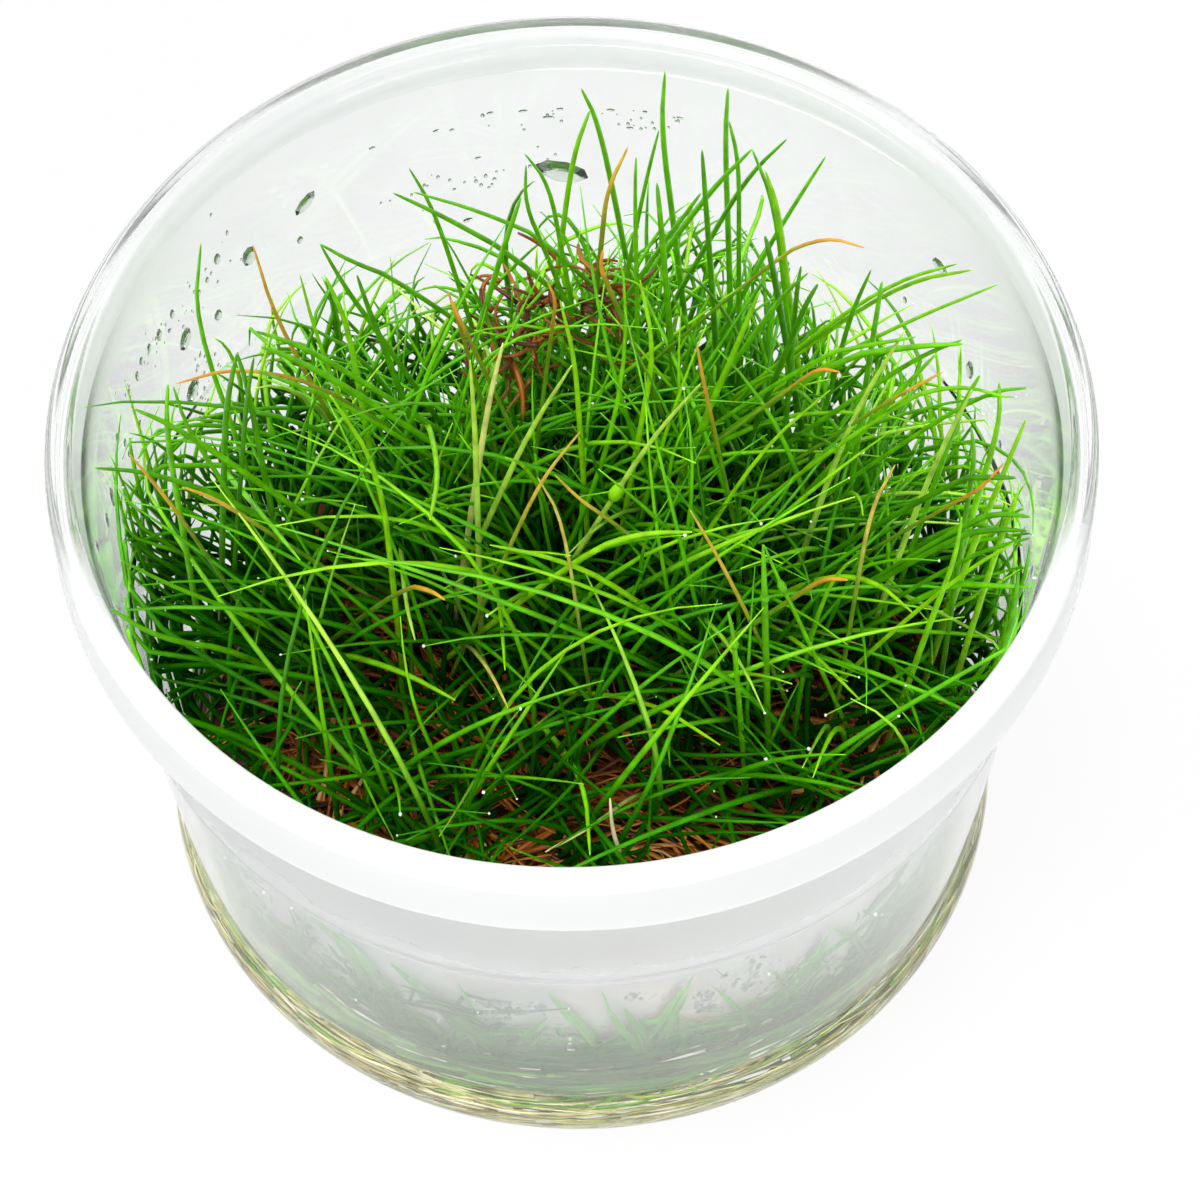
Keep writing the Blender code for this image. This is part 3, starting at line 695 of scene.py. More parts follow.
# Presses each path down until its top is under the mound, which shortens its spread much less, then keeps it inside
# the wall and above the mat
def fitInside(paths, under, clearance):
    roots = paths[:, :1]
    top = paths[..., 2].argmax(1)
    high = np.take_along_axis(paths, top[:, None, None].repeat(3, 2), 1)[:, 0]
    ceiling = np.minimum(moundHeight(high[:, 0], high[:, 1]) * under, grass["ceiling"])
    scale = np.clip((ceiling - roots[:, 0, 2]) / (high[:, 2] - roots[:, 0, 2]), 0.25, 1)
    press = np.stack([scale ** 0.35, scale ** 0.35, scale], -1)
    paths = roots + (paths - roots) * press[:, None, :]
    x, y, z = paths[..., 0], paths[..., 1], paths[..., 2]
    z = np.maximum(z, matHeight(x, y) + grass["overMat"])
    limit = innerWall(np.clip(z, cup["wallFoot"], cup["height"])) - clearance[:, None]
    far = np.hypot(x, y)
    pull = np.minimum(1, limit / np.maximum(far, 1e-6))
    return np.stack([x * pull, y * pull, z], -1)


# Blades of one tuft leave its crown in bundles: each bundle has its own root and lean, and its blades fan out from it
def growTufts(random, crowns):
    bundles = len(crowns) * grass["bundles"]
    count = bundles * grass["blades"]
    home = np.repeat(crowns, grass["bundles"], 0)
    base = home + random.normal(0, grass["bundleReach"] / 2, (bundles, 2))
    lean2 = base / cup["mouth"] * grass["outward"] + random.normal(0, grass["bundleLean"], (bundles, 2))
    base, lean2 = np.repeat(base, grass["blades"], 0), np.repeat(lean2, grass["blades"], 0)
    roots = buried(ontoMat(base + random.normal(0, grass["rootSpread"], (count, 2)), grass["inside"]))
    lean2 = lean2 + random.normal(0, grass["bladeLean"], (count, 2))
    lean = unitLong(np.concatenate([lean2, np.ones((count, 1))], 1))
    way = lean2 + random.normal(0, grass["aside"], (count, 2))
    droop = np.concatenate([way, grass["droop"] * np.ones((count, 1))], 1)
    sway = unitLong(droop - (droop * lean).sum(1, keepdims=True) * lean)
    bend, length = random.uniform(*grass["bend"], count), random.uniform(*grass["length"], count)
    return roots, lean, sway, length, bend


# Half width along a blade: its own size, a little less towards the end by a cosine, and drawn to a point by a fifth
# power
def bladeGirth(random, count, points):
    share = np.linspace(0, 1, points)
    taper = (0.9 + 0.1 * np.cos(share * np.pi)) * (1 - 0.82 * share ** 5)
    return random.uniform(*grass["radius"], count)[:, None] * taper


# Corner cutting: each pass puts two points on every stretch, at a quarter and three quarters, and keeps the ends
def rounded(paths, passes):
    for turn in range(passes):
        near = 0.75 * paths[:, :-1] + 0.25 * paths[:, 1:]
        later = 0.25 * paths[:, :-1] + 0.75 * paths[:, 1:]
        middle = np.stack([near, later], 2).reshape(len(paths), -1, 3)
        paths = np.concatenate([paths[:, :1], middle, paths[:, -1:]], 1)
    return paths


# The blades that stand out of the mass: the pixels of tip, middle and lowest seen point of each, and its tone
standing = {
    "green": [
        (581, 88, 598, 122, 617, 209, 0.6), (590, 110, 573, 155, 561, 242, 0.7), (525, 154, 549, 184, 562, 251, 0.5),
        (526, 165, 525, 205, 545, 250, 0.4), (521, 197, 511, 226, 496, 271, 0.5), (409, 168, 432, 206, 456, 276, 0.5),
        (413, 192, 480, 211, 557, 244, 0.6), (393, 193, 443, 216, 526, 262, 0.5), (201, 243, 194, 320, 243, 456, 0.6),
        (300, 275, 315, 332, 346, 414, 0.7), (325, 276, 347, 322, 363, 409, 0.7), (320, 244, 348, 292, 375, 328, 0.4),
        (320, 244, 352, 262, 400, 280, 0.4), (255, 331, 296, 344, 345, 370, 0.5), (261, 347, 296, 359, 367, 399, 0.5),
        (257, 370, 287, 382, 340, 400, 0.5), (134, 409, 168, 423, 235, 465, 0.6), (168, 384, 166, 420, 172, 470, 0.6),
        (173, 386, 187, 428, 215, 470, 0.5), (237, 353, 228, 395, 224, 440, 0.3), (237, 353, 247, 385, 256, 430, 0.3),
        (254, 357, 248, 390, 244, 430, 0.2), (357, 275, 367, 305, 385, 350, 0.2), (95, 468, 150, 472, 235, 500, 0.3),
        (665, 71, 661, 130, 675, 234, 0.6), (659, 130, 648, 172, 633, 242, 0.5), (636, 157, 635, 195, 636, 250, 0.6),
        (728, 88, 725, 140, 729, 251, 0.6), (729, 121, 739, 162, 739, 242, 0.5), (702, 150, 705, 193, 709, 245, 0.3),
        (787, 139, 752, 172, 721, 219, 0.4), (752, 149, 712, 189, 661, 256, 0.5), (752, 149, 775, 205, 787, 309, 0.6),
        (765, 170, 777, 203, 784, 250, 0.8), (826, 156, 798, 199, 763, 256, 0.6), (871, 270, 852, 312, 841, 350, 0.3),
        (818, 284, 808, 300, 797, 325, 0.1), (808, 273, 785, 293, 757, 330, 0.4), (801, 266, 797, 290, 794, 325, 0.2),
        (657, 183, 660, 215, 664, 260, 0.5), (765, 236, 770, 255, 777, 290, 0.1), (701, 193, 685, 215, 658, 250, 0.4),
        (957, 264, 898, 280, 822, 328, 0.7), (972, 270, 907, 281, 818, 336, 0.8), (999, 284, 910, 320, 815, 368, 0.7),
        (882, 281, 876, 319, 868, 370, 0.5), (962, 340, 927, 353, 885, 378, 0.5), (963, 344, 915, 346, 828, 359, 0.6),
        (916, 337, 880, 343, 812, 356, 0.6), (936, 354, 911, 380, 880, 412, 0.6),
        (1027, 388, 992, 391, 930, 424, 0.5), (1009, 398, 958, 384, 895, 401, 0.7),
        (980, 375, 966, 398, 950, 440, 0.6), (999, 382, 1000, 425, 975, 505, 0.7),
        (1026, 419, 1000, 482, 958, 584, 0.8), (972, 390, 936, 460, 893, 570, 0.9),
        (971, 427, 975, 456, 968, 500, 0.4), (1031, 587, 990, 586, 945, 582, 0.5),
        (1030, 517, 1003, 513, 970, 520, 0.3), (1027, 531, 996, 529, 955, 535, 0.2),
        (1030, 538, 1003, 545, 960, 560, 0.3), (1014, 543, 970, 568, 893, 630, 0.8),
        (912, 612, 872, 578, 815, 576, 0.8), (1016, 478, 990, 477, 955, 478, 0.1),
        (1018, 491, 1006, 525, 990, 570, 0.8), (1019, 572, 1015, 600, 1008, 640, 0.3),
        (962, 517, 955, 560, 927, 630, 0.7), (1023, 546, 1000, 530, 960, 520, 0.4),
        (692, 532, 640, 533, 585, 552, 0.8), (490, 545, 555, 558, 615, 584, 0.8), (503, 343, 489, 400, 477, 475, 1.0),
        (470, 360, 475, 430, 477, 495, 0.9), (572, 365, 530, 430, 497, 500, 0.9), (830, 390, 760, 450, 690, 560, 0.8),
        (905, 330, 850, 420, 800, 560, 0.9), (640, 280, 655, 350, 640, 430, 0.8), (330, 395, 380, 470, 395, 600, 0.8),
        (455, 700, 400, 670, 330, 650, 0.7), (415, 640, 405, 600, 400, 540, 0.9), (860, 700, 800, 640, 720, 600, 0.8),
        (590, 855, 585, 780, 540, 720, 0.7), (720, 745, 650, 700, 560, 690, 0.8), (505, 670, 500, 600, 480, 520, 0.8),
        (300, 560, 250, 500, 215, 460, 0.6), (120, 560, 180, 590, 260, 620, 0.4), (105, 605, 160, 640, 240, 650, 0.4),
        (430, 520, 440, 470, 425, 410, 0.8), (760, 290, 735, 350, 700, 430, 0.7), (560, 300, 575, 360, 580, 430, 0.8),
    ],
    "dry": [
        (253, 245, 275, 318, 329, 414, 0.5), (175, 384, 240, 366, 338, 389, 0.4),
        (865, 248, 826, 236, 772, 258, 0.45), (628, 147, 607, 190, 602, 235, 0.6),
        (895, 465, 871, 508, 856, 590, 0.75), (1004, 463, 981, 489, 940, 510, 0.35),
        (580, 432, 541, 480, 507, 552, 0.65), (538, 478, 563, 520, 582, 642, 0.8),
        (451, 299, 456, 312, 470, 340, 0.4), (697, 345, 703, 380, 713, 424, 0.4), (182, 487, 212, 497, 250, 520, 0.6),
        (848, 580, 825, 578, 805, 590, 0.35), (610, 798, 612, 830, 622, 858, 0.95),
        (545, 852, 590, 828, 640, 790, 0.9), (943, 372, 918, 385, 890, 400, 0.5), (840, 372, 820, 368, 800, 380, 0.3),
        (555, 475, 580, 500, 610, 520, 0.6), (130, 455, 160, 490, 190, 530, 0.5), (690, 510, 720, 560, 760, 640, 0.6),
        (445, 600, 430, 590, 405, 585, 0.4), (508, 708, 490, 670, 465, 640, 0.8), (548, 283, 556, 300, 553, 322, 0.3),
        (603, 250, 600, 268, 610, 290, 0.35), (448, 292, 456, 314, 462, 334, 0.4),
    ],
    # Blades that lean on the front wall, seen through it, and how many cling together in each
    "wall": [
        (460, 977, 482, 1018, 528, 1073, 0.5, 3), (547, 984, 576, 1016, 599, 1046, 0.7, 3),
        (601, 984, 614, 1018, 656, 1050, 0.7, 3), (624, 1002, 640, 1025, 656, 1048, 0.5, 3),
        (693, 968, 672, 1004, 654, 1040, 0.6, 6), (709, 979, 736, 1000, 744, 1024, 0.6, 3),
        (675, 998, 682, 1032, 674, 1062, 0.6, 4), (549, 1010, 530, 1028, 512, 1042, 0.5, 3),
        (461, 1009, 459, 1035, 457, 1064, 0.5, 6), (441, 998, 470, 1024, 500, 1050, 0.4, 3),
        (675, 1018, 697, 1026, 718, 1036, 0.5, 2), (627, 1025, 581, 1057, 470, 1070, 0.4, 6),
        (778, 1002, 718, 1067, 590, 1098, 0.4, 10), (310, 904, 303, 940, 305, 985, 0.5, 7),
        (310, 904, 358, 952, 391, 1040, 0.5, 12), (216, 874, 260, 935, 292, 985, 0.4, 8),
        (263, 896, 260, 930, 275, 975, 0.4, 5), (266, 910, 302, 949, 330, 1000, 0.4, 6),
        (394, 957, 444, 999, 521, 1060, 0.3, 8), (366, 955, 395, 990, 420, 1045, 0.4, 8),
        (410, 1010, 430, 1038, 445, 1062, 0.4, 4), (828, 922, 800, 975, 715, 1054, 0.5, 12),
        (828, 922, 850, 935, 862, 955, 0.5, 2), (890, 899, 862, 968, 770, 1036, 0.5, 12),
        (935, 863, 890, 945, 824, 1015, 0.5, 10), (955, 880, 925, 935, 880, 985, 0.5, 6),
        (770, 965, 790, 985, 800, 1010, 0.4, 3), (720, 1010, 640, 1050, 540, 1085, 0.4, 10),
        (420, 1075, 520, 1085, 640, 1078, 0.3, 5), (900, 960, 830, 1020, 740, 1065, 0.4, 8),
    ],
    "sides": 6, "offWall": 0.0009, "lowest": 0.0135, "clinging": [2.0, 4.5, 10.0], "maxSlope": 0.55,
    "arch": 0.0008, "lowestSeen": 0.022, "fromEdge": 0.002, "passes": 2, "shade": 0.4, "shorter": 0.7,
    # How much lower a blade gets for each pixel down and aside that it runs
    "lowerBy": (0.00015, 0.00007),
    # How high a tip is by its height in the frame
    "heights": ([60, 250, 420, 520, 640, 740, 860], [0.0772, 0.0745, 0.0685, 0.060, 0.047, 0.037, 0.029]),
}


# Tip, middle and low point of each blade go where their sight lines cross chosen heights: the tip's from its place in
# the frame, the low point's lower by the run between them; from there the blade goes down to the mat
def standingPaths(rows):
    rows = np.array(rows, float)
    tip, middle, low = rows[:, 0:2], rows[:, 2:4], rows[:, 4:6]
    tipHeight = np.interp(tip[:, 1], *standing["heights"])
    run, (down, aside) = np.abs(low - tip), standing["lowerBy"]
    lowHeight = np.maximum(tipHeight - down * run[:, 1] - aside * run[:, 0], standing["lowestSeen"])
    below, above = np.linalg.norm(middle - low, axis=1), np.linalg.norm(tip - middle, axis=1)
    share = below / (below + above)
    middleHeight = lowHeight + (tipHeight - lowHeight) * share + standing["arch"]
    top, mid, base = (pixelsAtHeight(p, z) for p, z in ((tip, tipHeight), (middle, middleHeight), (low, lowHeight)))
    slope = (mid - base)[:, :2] / np.maximum(mid - base, 0.002)[:, 2:]
    slope *= np.minimum(1, standing["maxSlope"] / np.maximum(np.linalg.norm(slope, axis=1), 1e-6))[:, None]
    ground = buried(ontoMat(base[:, :2] - slope * (base[:, 2:] - mat["middle"]), standing["fromEdge"]))
    return rounded(np.stack([ground, base, mid, top], 1), standing["passes"]), rows[:, 6]


# Blades that lean on the front wall: three points of each on the wall's inside, and a root behind the lowest; those
# that cling together spread by a normal law that grows from tip to root, and end short of the first one's tip
def leaningPaths(random, rows):
    rows = np.array(rows, float)
    clinging = rows[:, 7].astype(int)
    rows = np.repeat(rows, clinging, 0)
    later = np.concatenate([np.arange(n) > 0 for n in clinging])[:, None, None]
    spread = later * random.normal(0, 1, (len(rows), 3, 2)) * np.array(standing["clinging"])[:, None]
    pixels = rows[:, :6].reshape(-1, 3, 2) + spread
    shorter = later * random.uniform(0, standing["shorter"], (len(rows), 1, 1))
    pixels[:, 0] += (pixels[:, 1] - pixels[:, 0]) * shorter[:, 0]
    points = pixelsOnWall(pixels[:, ::-1], False, standing["offWall"])
    points[..., 2] = np.maximum(points[..., 2], standing["lowest"])
    far = np.hypot(points[..., 0], points[..., 1])
    points[..., :2] *= np.minimum(1, (innerWall(points[..., 2]) - standing["offWall"]) / far)[..., None]
    root = buried(ontoMat(points[:, 0, :2], grass["inside"]))
    return rounded(np.concatenate([root[:, None], points], 1), standing["passes"]), rows[:, 6]


climbing = {
    "points": 9, "drift": 0.16, "slant": 0.1, "start": 0.0125, "reach": (0.2, 1.0), "offWall": (0.0009, 0.0024),
    "inside": 0.001, "tone": (0.05, 0.6),
    # Middle and spread in degrees, number and reach of each crowd
    "crowds": [(-136, 13, 14, 0.012), (-112, 8, 16, 0.010), (-58, 7, 18, 0.010), (-40, 10, 16, 0.014),
               (-90, 14, 22, 0.005)],
}


# More blades along the front wall, between the traced ones: each starts at the mat's edge and climbs the wall, while
# its turn drifts by a power of the way and its rise slows by a sine
def climbingPaths(random):
    crowds = np.array(climbing["crowds"], float)
    which = np.repeat(np.arange(len(crowds)), crowds[:, 2].astype(int))
    count = len(which)
    start = np.radians(random.normal(crowds[which, 0], crowds[which, 1]))
    share = np.linspace(0, 1, climbing["points"])
    drift = random.normal(0, climbing["drift"], count) + random.choice([-1, 1], count) * climbing["slant"]
    turn = start[:, None] + drift[:, None] * share ** 1.4
    rise = random.uniform(*climbing["reach"], count) * crowds[which, 3]
    z = climbing["start"] + rise[:, None] * np.sin(share * np.pi / 2)
    inset = random.uniform(*climbing["offWall"], count)[:, None] * (1 - 0.6 * share)
    radius = innerWall(z) - inset
    radius[:, 0] = np.minimum(radius[:, 0], matReach(np.cos(turn[:, 0]), np.sin(turn[:, 0])) - climbing["inside"])
    paths = aroundAxis(radius, turn, z)
    paths[:, 0, 2] = matHeight(paths[:, 0, 0], paths[:, 0, 1]) - mat["buried"]
    return paths, random.uniform(*climbing["tone"], count)


# Single blades as tubes, each with its own tone and with painted shade by depth; rim is how much painted shade of the
# rim they get, and slim takes width off towards the tip
def makeStanding(name, random, found, material, scale=1.0, rim=0.2, slim=0.0):
    paths, tone = found
    girth = bladeGirth(random, len(paths), paths.shape[1]) * scale * (1 - slim * np.linspace(0, 1, paths.shape[1]))
    piece = tubePiece(name, paths, girth, standing["sides"], tone, material, (standing["shade"], rim))


# Stems that carry a seed head: tip, middle, low point and tone as above, then the head's pixel, length and half width
seeds = {
    "stems": [(700, 384, 650, 440, 597, 523, 0.9, 607, 494, 0.0038, 0.00066),
              (763, 545, 764, 575, 765, 612, 0.5, 764, 601, 0.0015, 0.00045),
              (728, 612, 733, 632, 736, 664, 0.5, 733, 647, 0.0017, 0.00045),
              (764, 545, 780, 583, 797, 616, 0.6, 782, 586, 0.0028, 0.0004)],
    "points": 9, "sides": 8,
}


# Each head lies along its stem, centred on the point of it that the camera sees nearest to the head's pixel; its
# girth swells and closes by a sine
def makeSeedHeads(random, material):
    rows = np.array(seeds["stems"], float)
    paths, tone = standingPaths(rows[:, :7])
    nearest = np.linalg.norm(pixelsSeen(paths) - rows[:, None, 7:9], axis=2).argmin(1)
    row = np.arange(len(rows))
    along = unitLong(np.gradient(paths, axis=1)[row, nearest])
    share = np.linspace(0, 1, seeds["points"])
    heads = paths[row, nearest][:, None] + along[:, None] * ((share - 0.5) * rows[:, 9:10])[..., None]
    girth = rows[:, 10:11] * (0.12 + 0.88 * np.sin(np.pi * share) ** 0.8)
    # The heads get the painted shade of the mound at a third of its strength
    piece = tubePiece("seedHeads", heads, girth, seeds["sides"], tone * 0.9, material, (0.3,))
    makeStanding("seedStems", random, (paths, tone), material)


drops = {
    # Pixel, half width and half height in pixels, of the larger drops on the wall behind, and where it isn't level the
    # tilt in degrees
    "back": [
        (305, 203, 17, 7, 40), (249, 256, 10, 12), (185, 339, 15, 8, 70), (192, 391, 15, 9, 70), (112, 497, 6, 14),
        (107, 520, 5, 10), (217, 259, 5, 7), (199, 293, 3, 5), (218, 315, 6, 7), (172, 314, 4, 6), (159, 335, 5, 8),
        (149, 348, 4, 6), (137, 376, 4, 7), (141, 361, 4, 5), (129, 392, 3, 5), (132, 405, 3, 5), (140, 423, 3, 4),
        (117, 438, 4, 7), (125, 443, 4, 6), (129, 454, 3, 5), (97, 547, 5, 8), (227, 233, 2, 4), (211, 215, 2, 3),
        (207, 280, 3, 4), (372, 148, 4, 2), (436, 131, 4, 2), (452, 130, 3, 2), (523, 111, 5, 2), (560, 109, 4, 2),
        (611, 110, 5, 2), (645, 112, 3, 2), (548, 117, 6, 2), (562, 171, 31, 13, -24), (940, 266, 12, 7),
        (970, 370, 7, 12), (1032, 572, 4, 9), (300, 240, 4, 5), (478, 158, 4, 2), (468, 220, 6, 3), (630, 128, 4, 2),
        (230, 410, 5, 9), (490, 113, 4, 2), (680, 118, 4, 2), (1000, 445, 4, 7), (905, 300, 3, 5),
    ],
    # Corners of the misted patches, and how many fine drops each has
    "backFine": [((195, 350), (240, 430), 60), ((380, 200), (560, 160), 26), ((480, 110), (680, 130), 26),
                 ((120, 400), (230, 250), 40)],
    # The same two tables for the front wall
    "front": [(765, 988, 13, 7), (703, 1003, 10, 6), (735, 1022, 12, 4), (764, 1016, 8, 4), (560, 1018, 4, 2),
              (652, 1007, 5, 3)],
    "frontFine": [((486, 992), (512, 1014), 70), ((506, 996), (545, 1008), 46), ((690, 985), (722, 1006), 56),
                  ((742, 950), (800, 986), 76), ((718, 965), (760, 985), 40), ((625, 986), (664, 994), 26),
                  ((820, 950), (836, 970), 24), ((246, 880), (286, 912), 34), ((300, 925), (350, 960), 20)],
    "sides": 8, "domeAngles": [0, 30, 60], "proud": 0.45, "inset": 0.00003, "wallLean": 0.06,
    "pixelsPerMetre": 11700, "tallBehind": 9700,  # the wall behind is seen at a slant
    "fineSize": (0.8, 2.3), "fineFront": 1.35, "fineWander": 8,
}


# Each drop is a flattened dome on the wall: its foot is an ellipse in the wall's plane, turned by the tilt, and rings
# rise from it by a quarter of a circle towards the cup's axis
def dropShapes(places, wide, tall, proud, tilt):
    sides, count = drops["sides"], len(places)
    inward = unitLong(np.stack([-places[:, 0], -places[:, 1], np.zeros(count)], 1))
    upward = np.array([0, 0, 1.0]) - inward * drops["wallLean"]
    around = np.cross(upward, inward)
    angle = roundAngles(sides)
    across = around * np.cos(tilt)[:, None] + upward * np.sin(tilt)[:, None]
    square = upward * np.cos(tilt)[:, None] - around * np.sin(tilt)[:, None]
    edge = (across[:, None] * (np.cos(angle)[:, None] * wide[:, None, None])
            + square[:, None] * (np.sin(angle)[:, None] * tall[:, None, None]))
    rise = np.radians(drops["domeAngles"])
    rings = places[:, None, None] + edge[:, None] * np.cos(rise)[:, None, None] + (
        inward[:, None, None] * (np.sin(rise)[:, None, None] * proud[:, None, None, None]))
    rings = rings.reshape(count, -1, 3)
    corners = np.concatenate([rings, (places + inward * proud[:, None])[:, None], places[:, None]], 1)
    rows, size = len(rise), corners.shape[1]
    ends = np.concatenate([fan(rows * sides, (rows - 1) * sides, sides, True), fan(rows * sides + 1, 0, sides, False)])
    return corners.reshape(-1, 3), repeated(gridFaces(rows, sides), count, size), repeated(ends, count, size)


# Clear, tinted water, roughened a little by fine noise
def waterMaterial(name, colour, clear, rough):
    material, tree, surface = newMaterial(name)
    feedAll(tree, surface, {"Base Color": colour, "IOR": 1.33, "Transmission Weight": clear,
                            "Roughness": mapped(tree, noiseOf(tree, 900.0), 0, 1, rough, rough + 0.05)})
    letLampsThrough(tree, surface, (0.9, 0.93, 0.92))
    return material


# Pixels of fine drops: evenly over a patch, or, where its second corner isn't to the right of and below the first,
# along the line between the two with some wander
def finePixels(random, first, last, count):
    if first[0] <= last[0] and first[1] <= last[1]:
        return random.uniform(first, last, (count, 2))
    line = np.array(first) + random.uniform(0, 1, (count, 1)) * (np.array(last) - np.array(first))
    return line + random.normal(0, drops["fineWander"], (count, 2))


# Drops where the sight lines of their pixels meet the wall's inside, and finer ones spread over the misted patches
def makeDrops(name, random, large, patches, behind, material):
    large = np.array([(*row, 0)[:5] for row in large], float)
    fine = np.concatenate([finePixels(random, *patch) for patch in patches])
    tiny = random.uniform(*drops["fineSize"], len(fine)) * (1 if behind else drops["fineFront"])
    wide = np.concatenate([large[:, 2], tiny]) / drops["pixelsPerMetre"]
    tall = np.concatenate([large[:, 3], tiny * random.uniform(1, 1.6, len(fine))])
    tall /= drops["tallBehind"] if behind else drops["pixelsPerMetre"]
    places = pixelsOnWall(np.concatenate([large[:, :2], fine]), behind, drops["inset"])
    tilt = np.radians(np.concatenate([large[:, 4], np.zeros(len(fine))]))
    piece = meshPiece(name, *dropShapes(places, wide, tall, drops["proud"] * np.minimum(wide, tall), tilt), material)


beads = {"sides": 6, "ringAngles": [-60, -25, 25, 60], "size": (0.00008, 0.00018)}


# Beads of water that hang on the blades: small balls, each a grid of rings from pole to pole
def makeBeads(random, places, material):
    count, sides = len(places), beads["sides"]
    rise, angle = np.radians(beads["ringAngles"])[:, None], roundAngles(sides)
    unit = np.concatenate([aroundAxis(np.cos(rise), angle, np.sin(rise)).reshape(-1, 3), [[0, 0, -1], [0, 0, 1]]])
    size = random.uniform(*beads["size"], count)[:, None, None] * random.uniform(0.8, 1.3, (count, 1, 3))
    corners = places[:, None] + unit * size
    rows, hub = len(rise), len(unit) - 2
    ends = np.concatenate([fan(hub, 0, sides, False), fan(hub + 1, hub - sides, sides, True)])
    quads, triangles = (repeated(faces, count, len(unit)) for faces in (gridFaces(rows, sides), ends))
    piece = meshPiece("waterBeads", corners.reshape(-1, 3), quads, triangles, material)


# White for what looks straight at it, and a plain pale surface for the light that it throws back
def seenWhite(tree, surface, direct):
    rays = addNode(tree, "ShaderNodeLightPath", {}).outputs
    mirrored = arithmetic(tree, "MAXIMUM", rays["Is Camera Ray"], rays["Is Glossy Ray"])
    share = arithmetic(tree, "MULTIPLY", arithmetic(tree, "MAXIMUM", mirrored, rays["Is Transmission Ray"]), direct)
    white = addNode(tree, "ShaderNodeEmission", {"Strength": 1.0}).outputs[0]
    return addNode(tree, "ShaderNodeMixShader", {0: share, 1: surface, 2: white}).outputs[0]


room = {"floor": 3.0, "floorDrop": 0.0002, "grey": 0.9, "rough": 0.8, "white": 0.93, "world": 0.34,
        "aim": (0, 0, 0.03), "lamps": [("key", (-0.3, -0.15, 1.1), 10.0), ("fill", (0.5, -0.9, 0.6), 3.4)],
        "lampSize": 0.6}


# A pale floor and a white room that light it evenly, and two square lamps aimed at the cup
def makeStage():
    material, tree, surface = newMaterial("paleFloor")
    feedAll(tree, surface, {"Base Color": (room["grey"],) * 3, "Roughness": room["rough"], "Specular IOR Level": 0.0})
    feed(tree, seenWhite(tree, surface.outputs[0], room["white"]), tree.nodes["Material Output"].inputs[0])
    half, drop = room["floor"] / 2, room["floorDrop"]
    floor = bpy.data.meshes.new("floor")
    corners = [(x * half, y * half, -drop) for x, y in ((-1, -1), (1, -1), (1, 1), (-1, 1))]
    floor.from_pydata(corners, [], [(0, 1, 2, 3)])
    floor.materials.append(material)
    holder = bpy.data.objects.new("floor", floor)
    bpy.context.scene.collection.objects.link(holder)
    world = bpy.data.worlds.new("studio")
    world.use_nodes = True
    tree = world.node_tree
    dim = tree.nodes["Background"]
    feedAll(tree, dim, {0: (1, 1, 1), 1: room["world"]})
    feed(tree, seenWhite(tree, dim.outputs[0], 1.0), tree.nodes["World Output"].inputs[0])
    bpy.context.scene.world = world
    for name, place, power in room["lamps"]:
        lamp = bpy.data.lights.new(name, "AREA")
        lamp.size, lamp.energy = room["lampSize"], power
        holder = bpy.data.objects.new(name, lamp)
        holder.location = place
        holder.rotation_euler = (Vector(room["aim"]) - Vector(place)).to_track_quat("-Z", "Y").to_euler()
        bpy.context.scene.collection.objects.link(holder)
    bpy.context.scene.view_settings.view_transform = "Standard"


print("camera, floor and lamps")
camera = makeCamera()
makeStage()

print("cup and gel")
makeCup(plasticMaterial())
makeFilm(filmMaterial())
makeGel(gelMaterial())
random, later = np.random.default_rng(7), np.random.default_rng(3)
creamTones = strandMaterial("creamRoots", [
    (0.0, (0.92, 0.86, 0.64)), (0.4, (0.78, 0.70, 0.38)), (0.8, (0.52, 0.54, 0.17)), (1.0, (0.44, 0.31, 0.12))])
shootTones = strandMaterial("buriedShoots", [
    (0.0, (0.1, 0.3, 0.02)), (0.6, (0.2, 0.42, 0.04)), (1.0, (0.45, 0.5, 0.08))])
edgeTones = strandMaterial("edgeShoot", [
    (0.0, (0.02, 0.05, 0.004)), (0.5, (0.05, 0.2, 0.01)), (1.0, (0.16, 0.42, 0.03))])
makeGelStrands("gelRoots", random, 540, creamTones, (0.00007, 0.00018), 0.0016, 0.0074, (0.15, 0.5))
makeGelStrands("gelShoots", random, 150, shootTones, (0.00014, 0.00028), 0.0035, 0.0078, (0.2, 0.6))
makeGelStrands("edgeShoots", random, 170, edgeTones, (0.00014, 0.0003), 0.0084, 0.0130, (0.2, 0.7))
makeGelStrands("fineRoots", later, 480, creamTones, (0.00006, 0.00016), 0.0014, 0.0078, (0.15, 0.5))
makeGelStrands("lowShoots", later, 150, edgeTones, (0.00014, 0.0003), 0.0084, 0.0115, (0.2, 0.7))

print("root mat")
makeMat(random, matMaterial())
shredTones = strandMaterial("deadLeaf", [
    (0.0, (0.015, 0.006, 0.003)), (0.4, (0.19, 0.045, 0.005)), (0.7, (0.52, 0.155, 0.012)), (0.92, (0.65, 0.25, 0.03)),
    (1.0, (0.75, 0.5, 0.2))], 0.8)
makeShreds(random, shredTones)
makeDeadClump(random, shredTones)

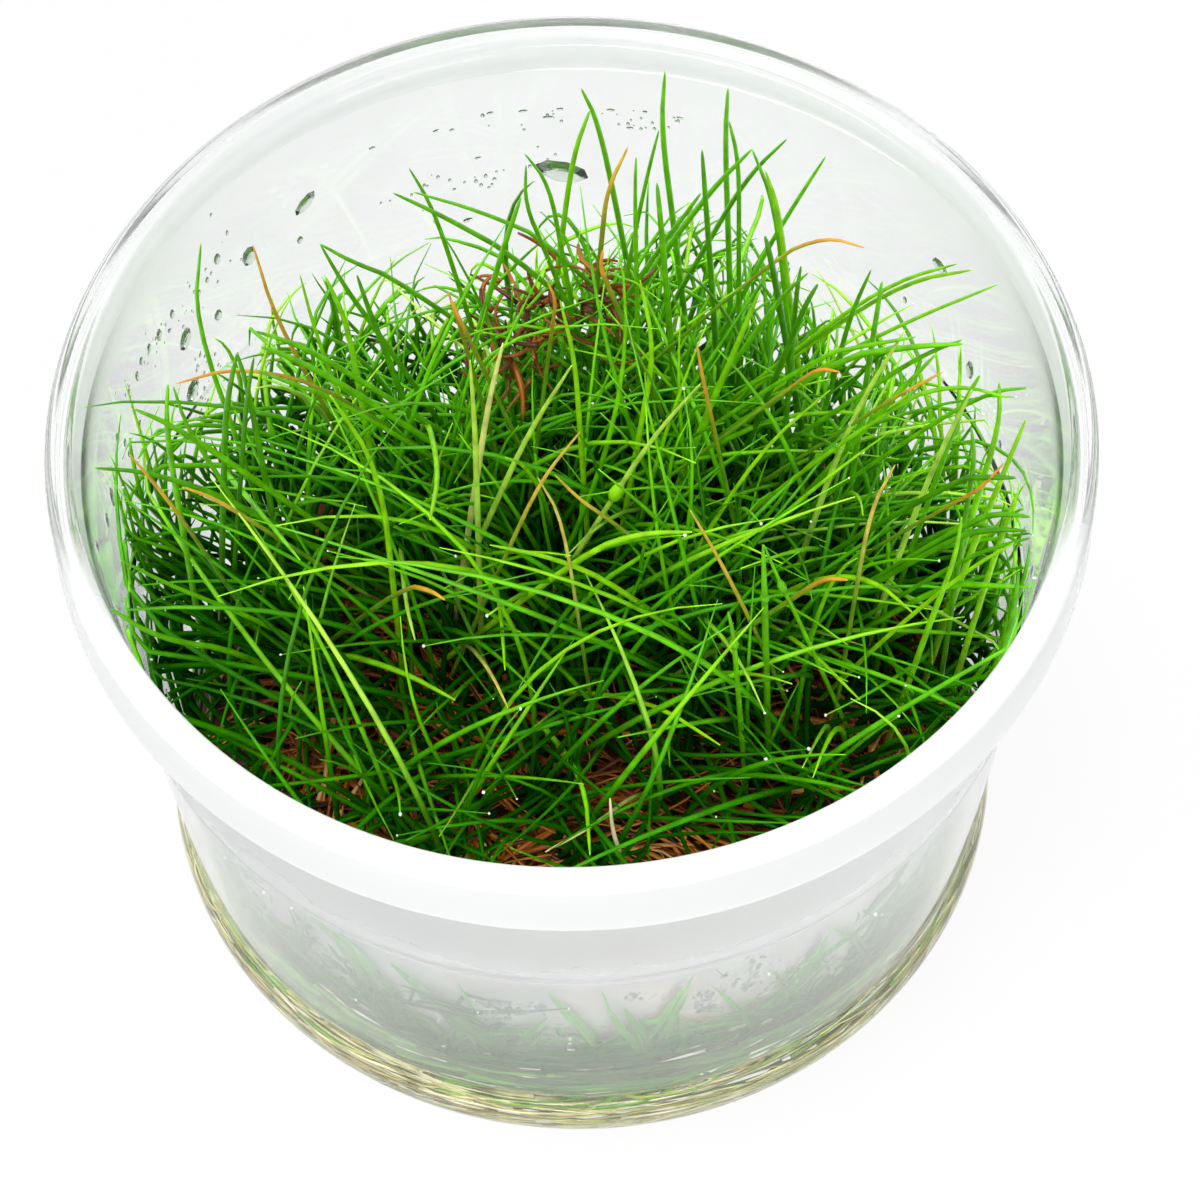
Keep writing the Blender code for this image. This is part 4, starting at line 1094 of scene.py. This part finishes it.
print("grass")
# Green blades: the dark roots and the darkening with depth are painted shade in the mass
greenTones = strandMaterial("greenBlade", [
    (0.0, (0.05, 0.25, 0.001)), (0.3, (0.11, 0.47, 0.001)), (0.6, (0.20, 0.72, 0.003)), (0.85, (0.42, 0.92, 0.01)),
    (1.0, (1.0, 1.0, 0.3))], 0.35, 1.4, 0.35, paintedShade=True)
dryTones = strandMaterial("dryBlade", [
    (0.0, (0.22, 0.05, 0.008)), (0.3, (0.88, 0.33, 0.025)), (0.6, (1.0, 0.62, 0.07)), (0.85, (1.0, 0.82, 0.2)),
    (1.0, (0.95, 0.85, 0.6))], 1.0, 0.9, 0.4, (0.16, 0.36, 0.01))
crowns = crownPlaces()
# The tufts near the axis make the middle piece, and the others five sectors from the front round to the left
sector = ((np.degrees(np.arctan2(crowns[:, 1], crowns[:, 0])) + 126) % 360 // 72).astype(int) + 1
sector[np.hypot(crowns[:, 0], crowns[:, 1]) < grass["middleRadius"]] = 0
beadPlaces = []
for number, name in enumerate(["bladesMiddle", "bladesFront", "bladesRight", "bladesBackRight", "bladesBackLeft",
                               "bladesLeft"]):
    mine = np.where(sector == number)[0]
    grown = growTufts(random, crowns[mine])
    kept = random.uniform(0, 1, len(grown[0])) < growthAt(grown[0][:, 0], grown[0][:, 1])
    paths = bladePaths(*(part[kept] for part in grown), grass["points"])
    count = len(paths)
    under = random.uniform(*grass["under"], count)
    under[random.uniform(0, 1, count) < grass["long"]] = grass["longUnder"]
    paths = fitInside(paths, under, random.uniform(*grass["offWall"], count))
    girth, tone = bladeGirth(random, count, grass["points"]), random.beta(*grass["tone"], count)
    # The tufts get painted shade with depth, towards the front and the left, and under the rim
    piece = tubePiece(name, paths, girth, grass["sides"], tone, greenTones, (1.0, 0.6))
    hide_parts(*[f"tuft_{i + 1:02d}" for i in mine])
    beadPlaces.append(paths[::grass["beadEvery"], -1])
    print(name, count)
makeStanding("bladesStanding", random, standingPaths(standing["green"]), greenTones)
makeStanding("bladesLeaning", random, leaningPaths(random, standing["wall"]), greenTones, 1.5, 0.5, 0.5)
makeStanding("bladesClimbing", random, climbingPaths(random), greenTones, 1.3, 0.45, 0.4)
makeSeedHeads(random, greenTones)
makeStanding("bladesDry", random, standingPaths(standing["dry"]), dryTones, 0.82)

print("water")
clearWater = waterMaterial("clearWater", (0.8, 0.86, 0.8), 1.0, 0.12)
# The front drops' grey tint is painted shade, standing for the dark edges that clear drops show
mistWater = waterMaterial("mistWater", (0.5, 0.55, 0.5), 1.0, 0.0)
makeDrops("dropsBehind", random, drops["back"], drops["backFine"], True, clearWater)
makeDrops("dropsFront", random, drops["front"], drops["frontFine"], False, mistWater)
# The beads' opaque white is a painted highlight, standing for the glints of water on the blades
makeBeads(random, np.concatenate(beadPlaces), waterMaterial("beadWaterGlint", (1, 1, 1), 0.0, 0.1))
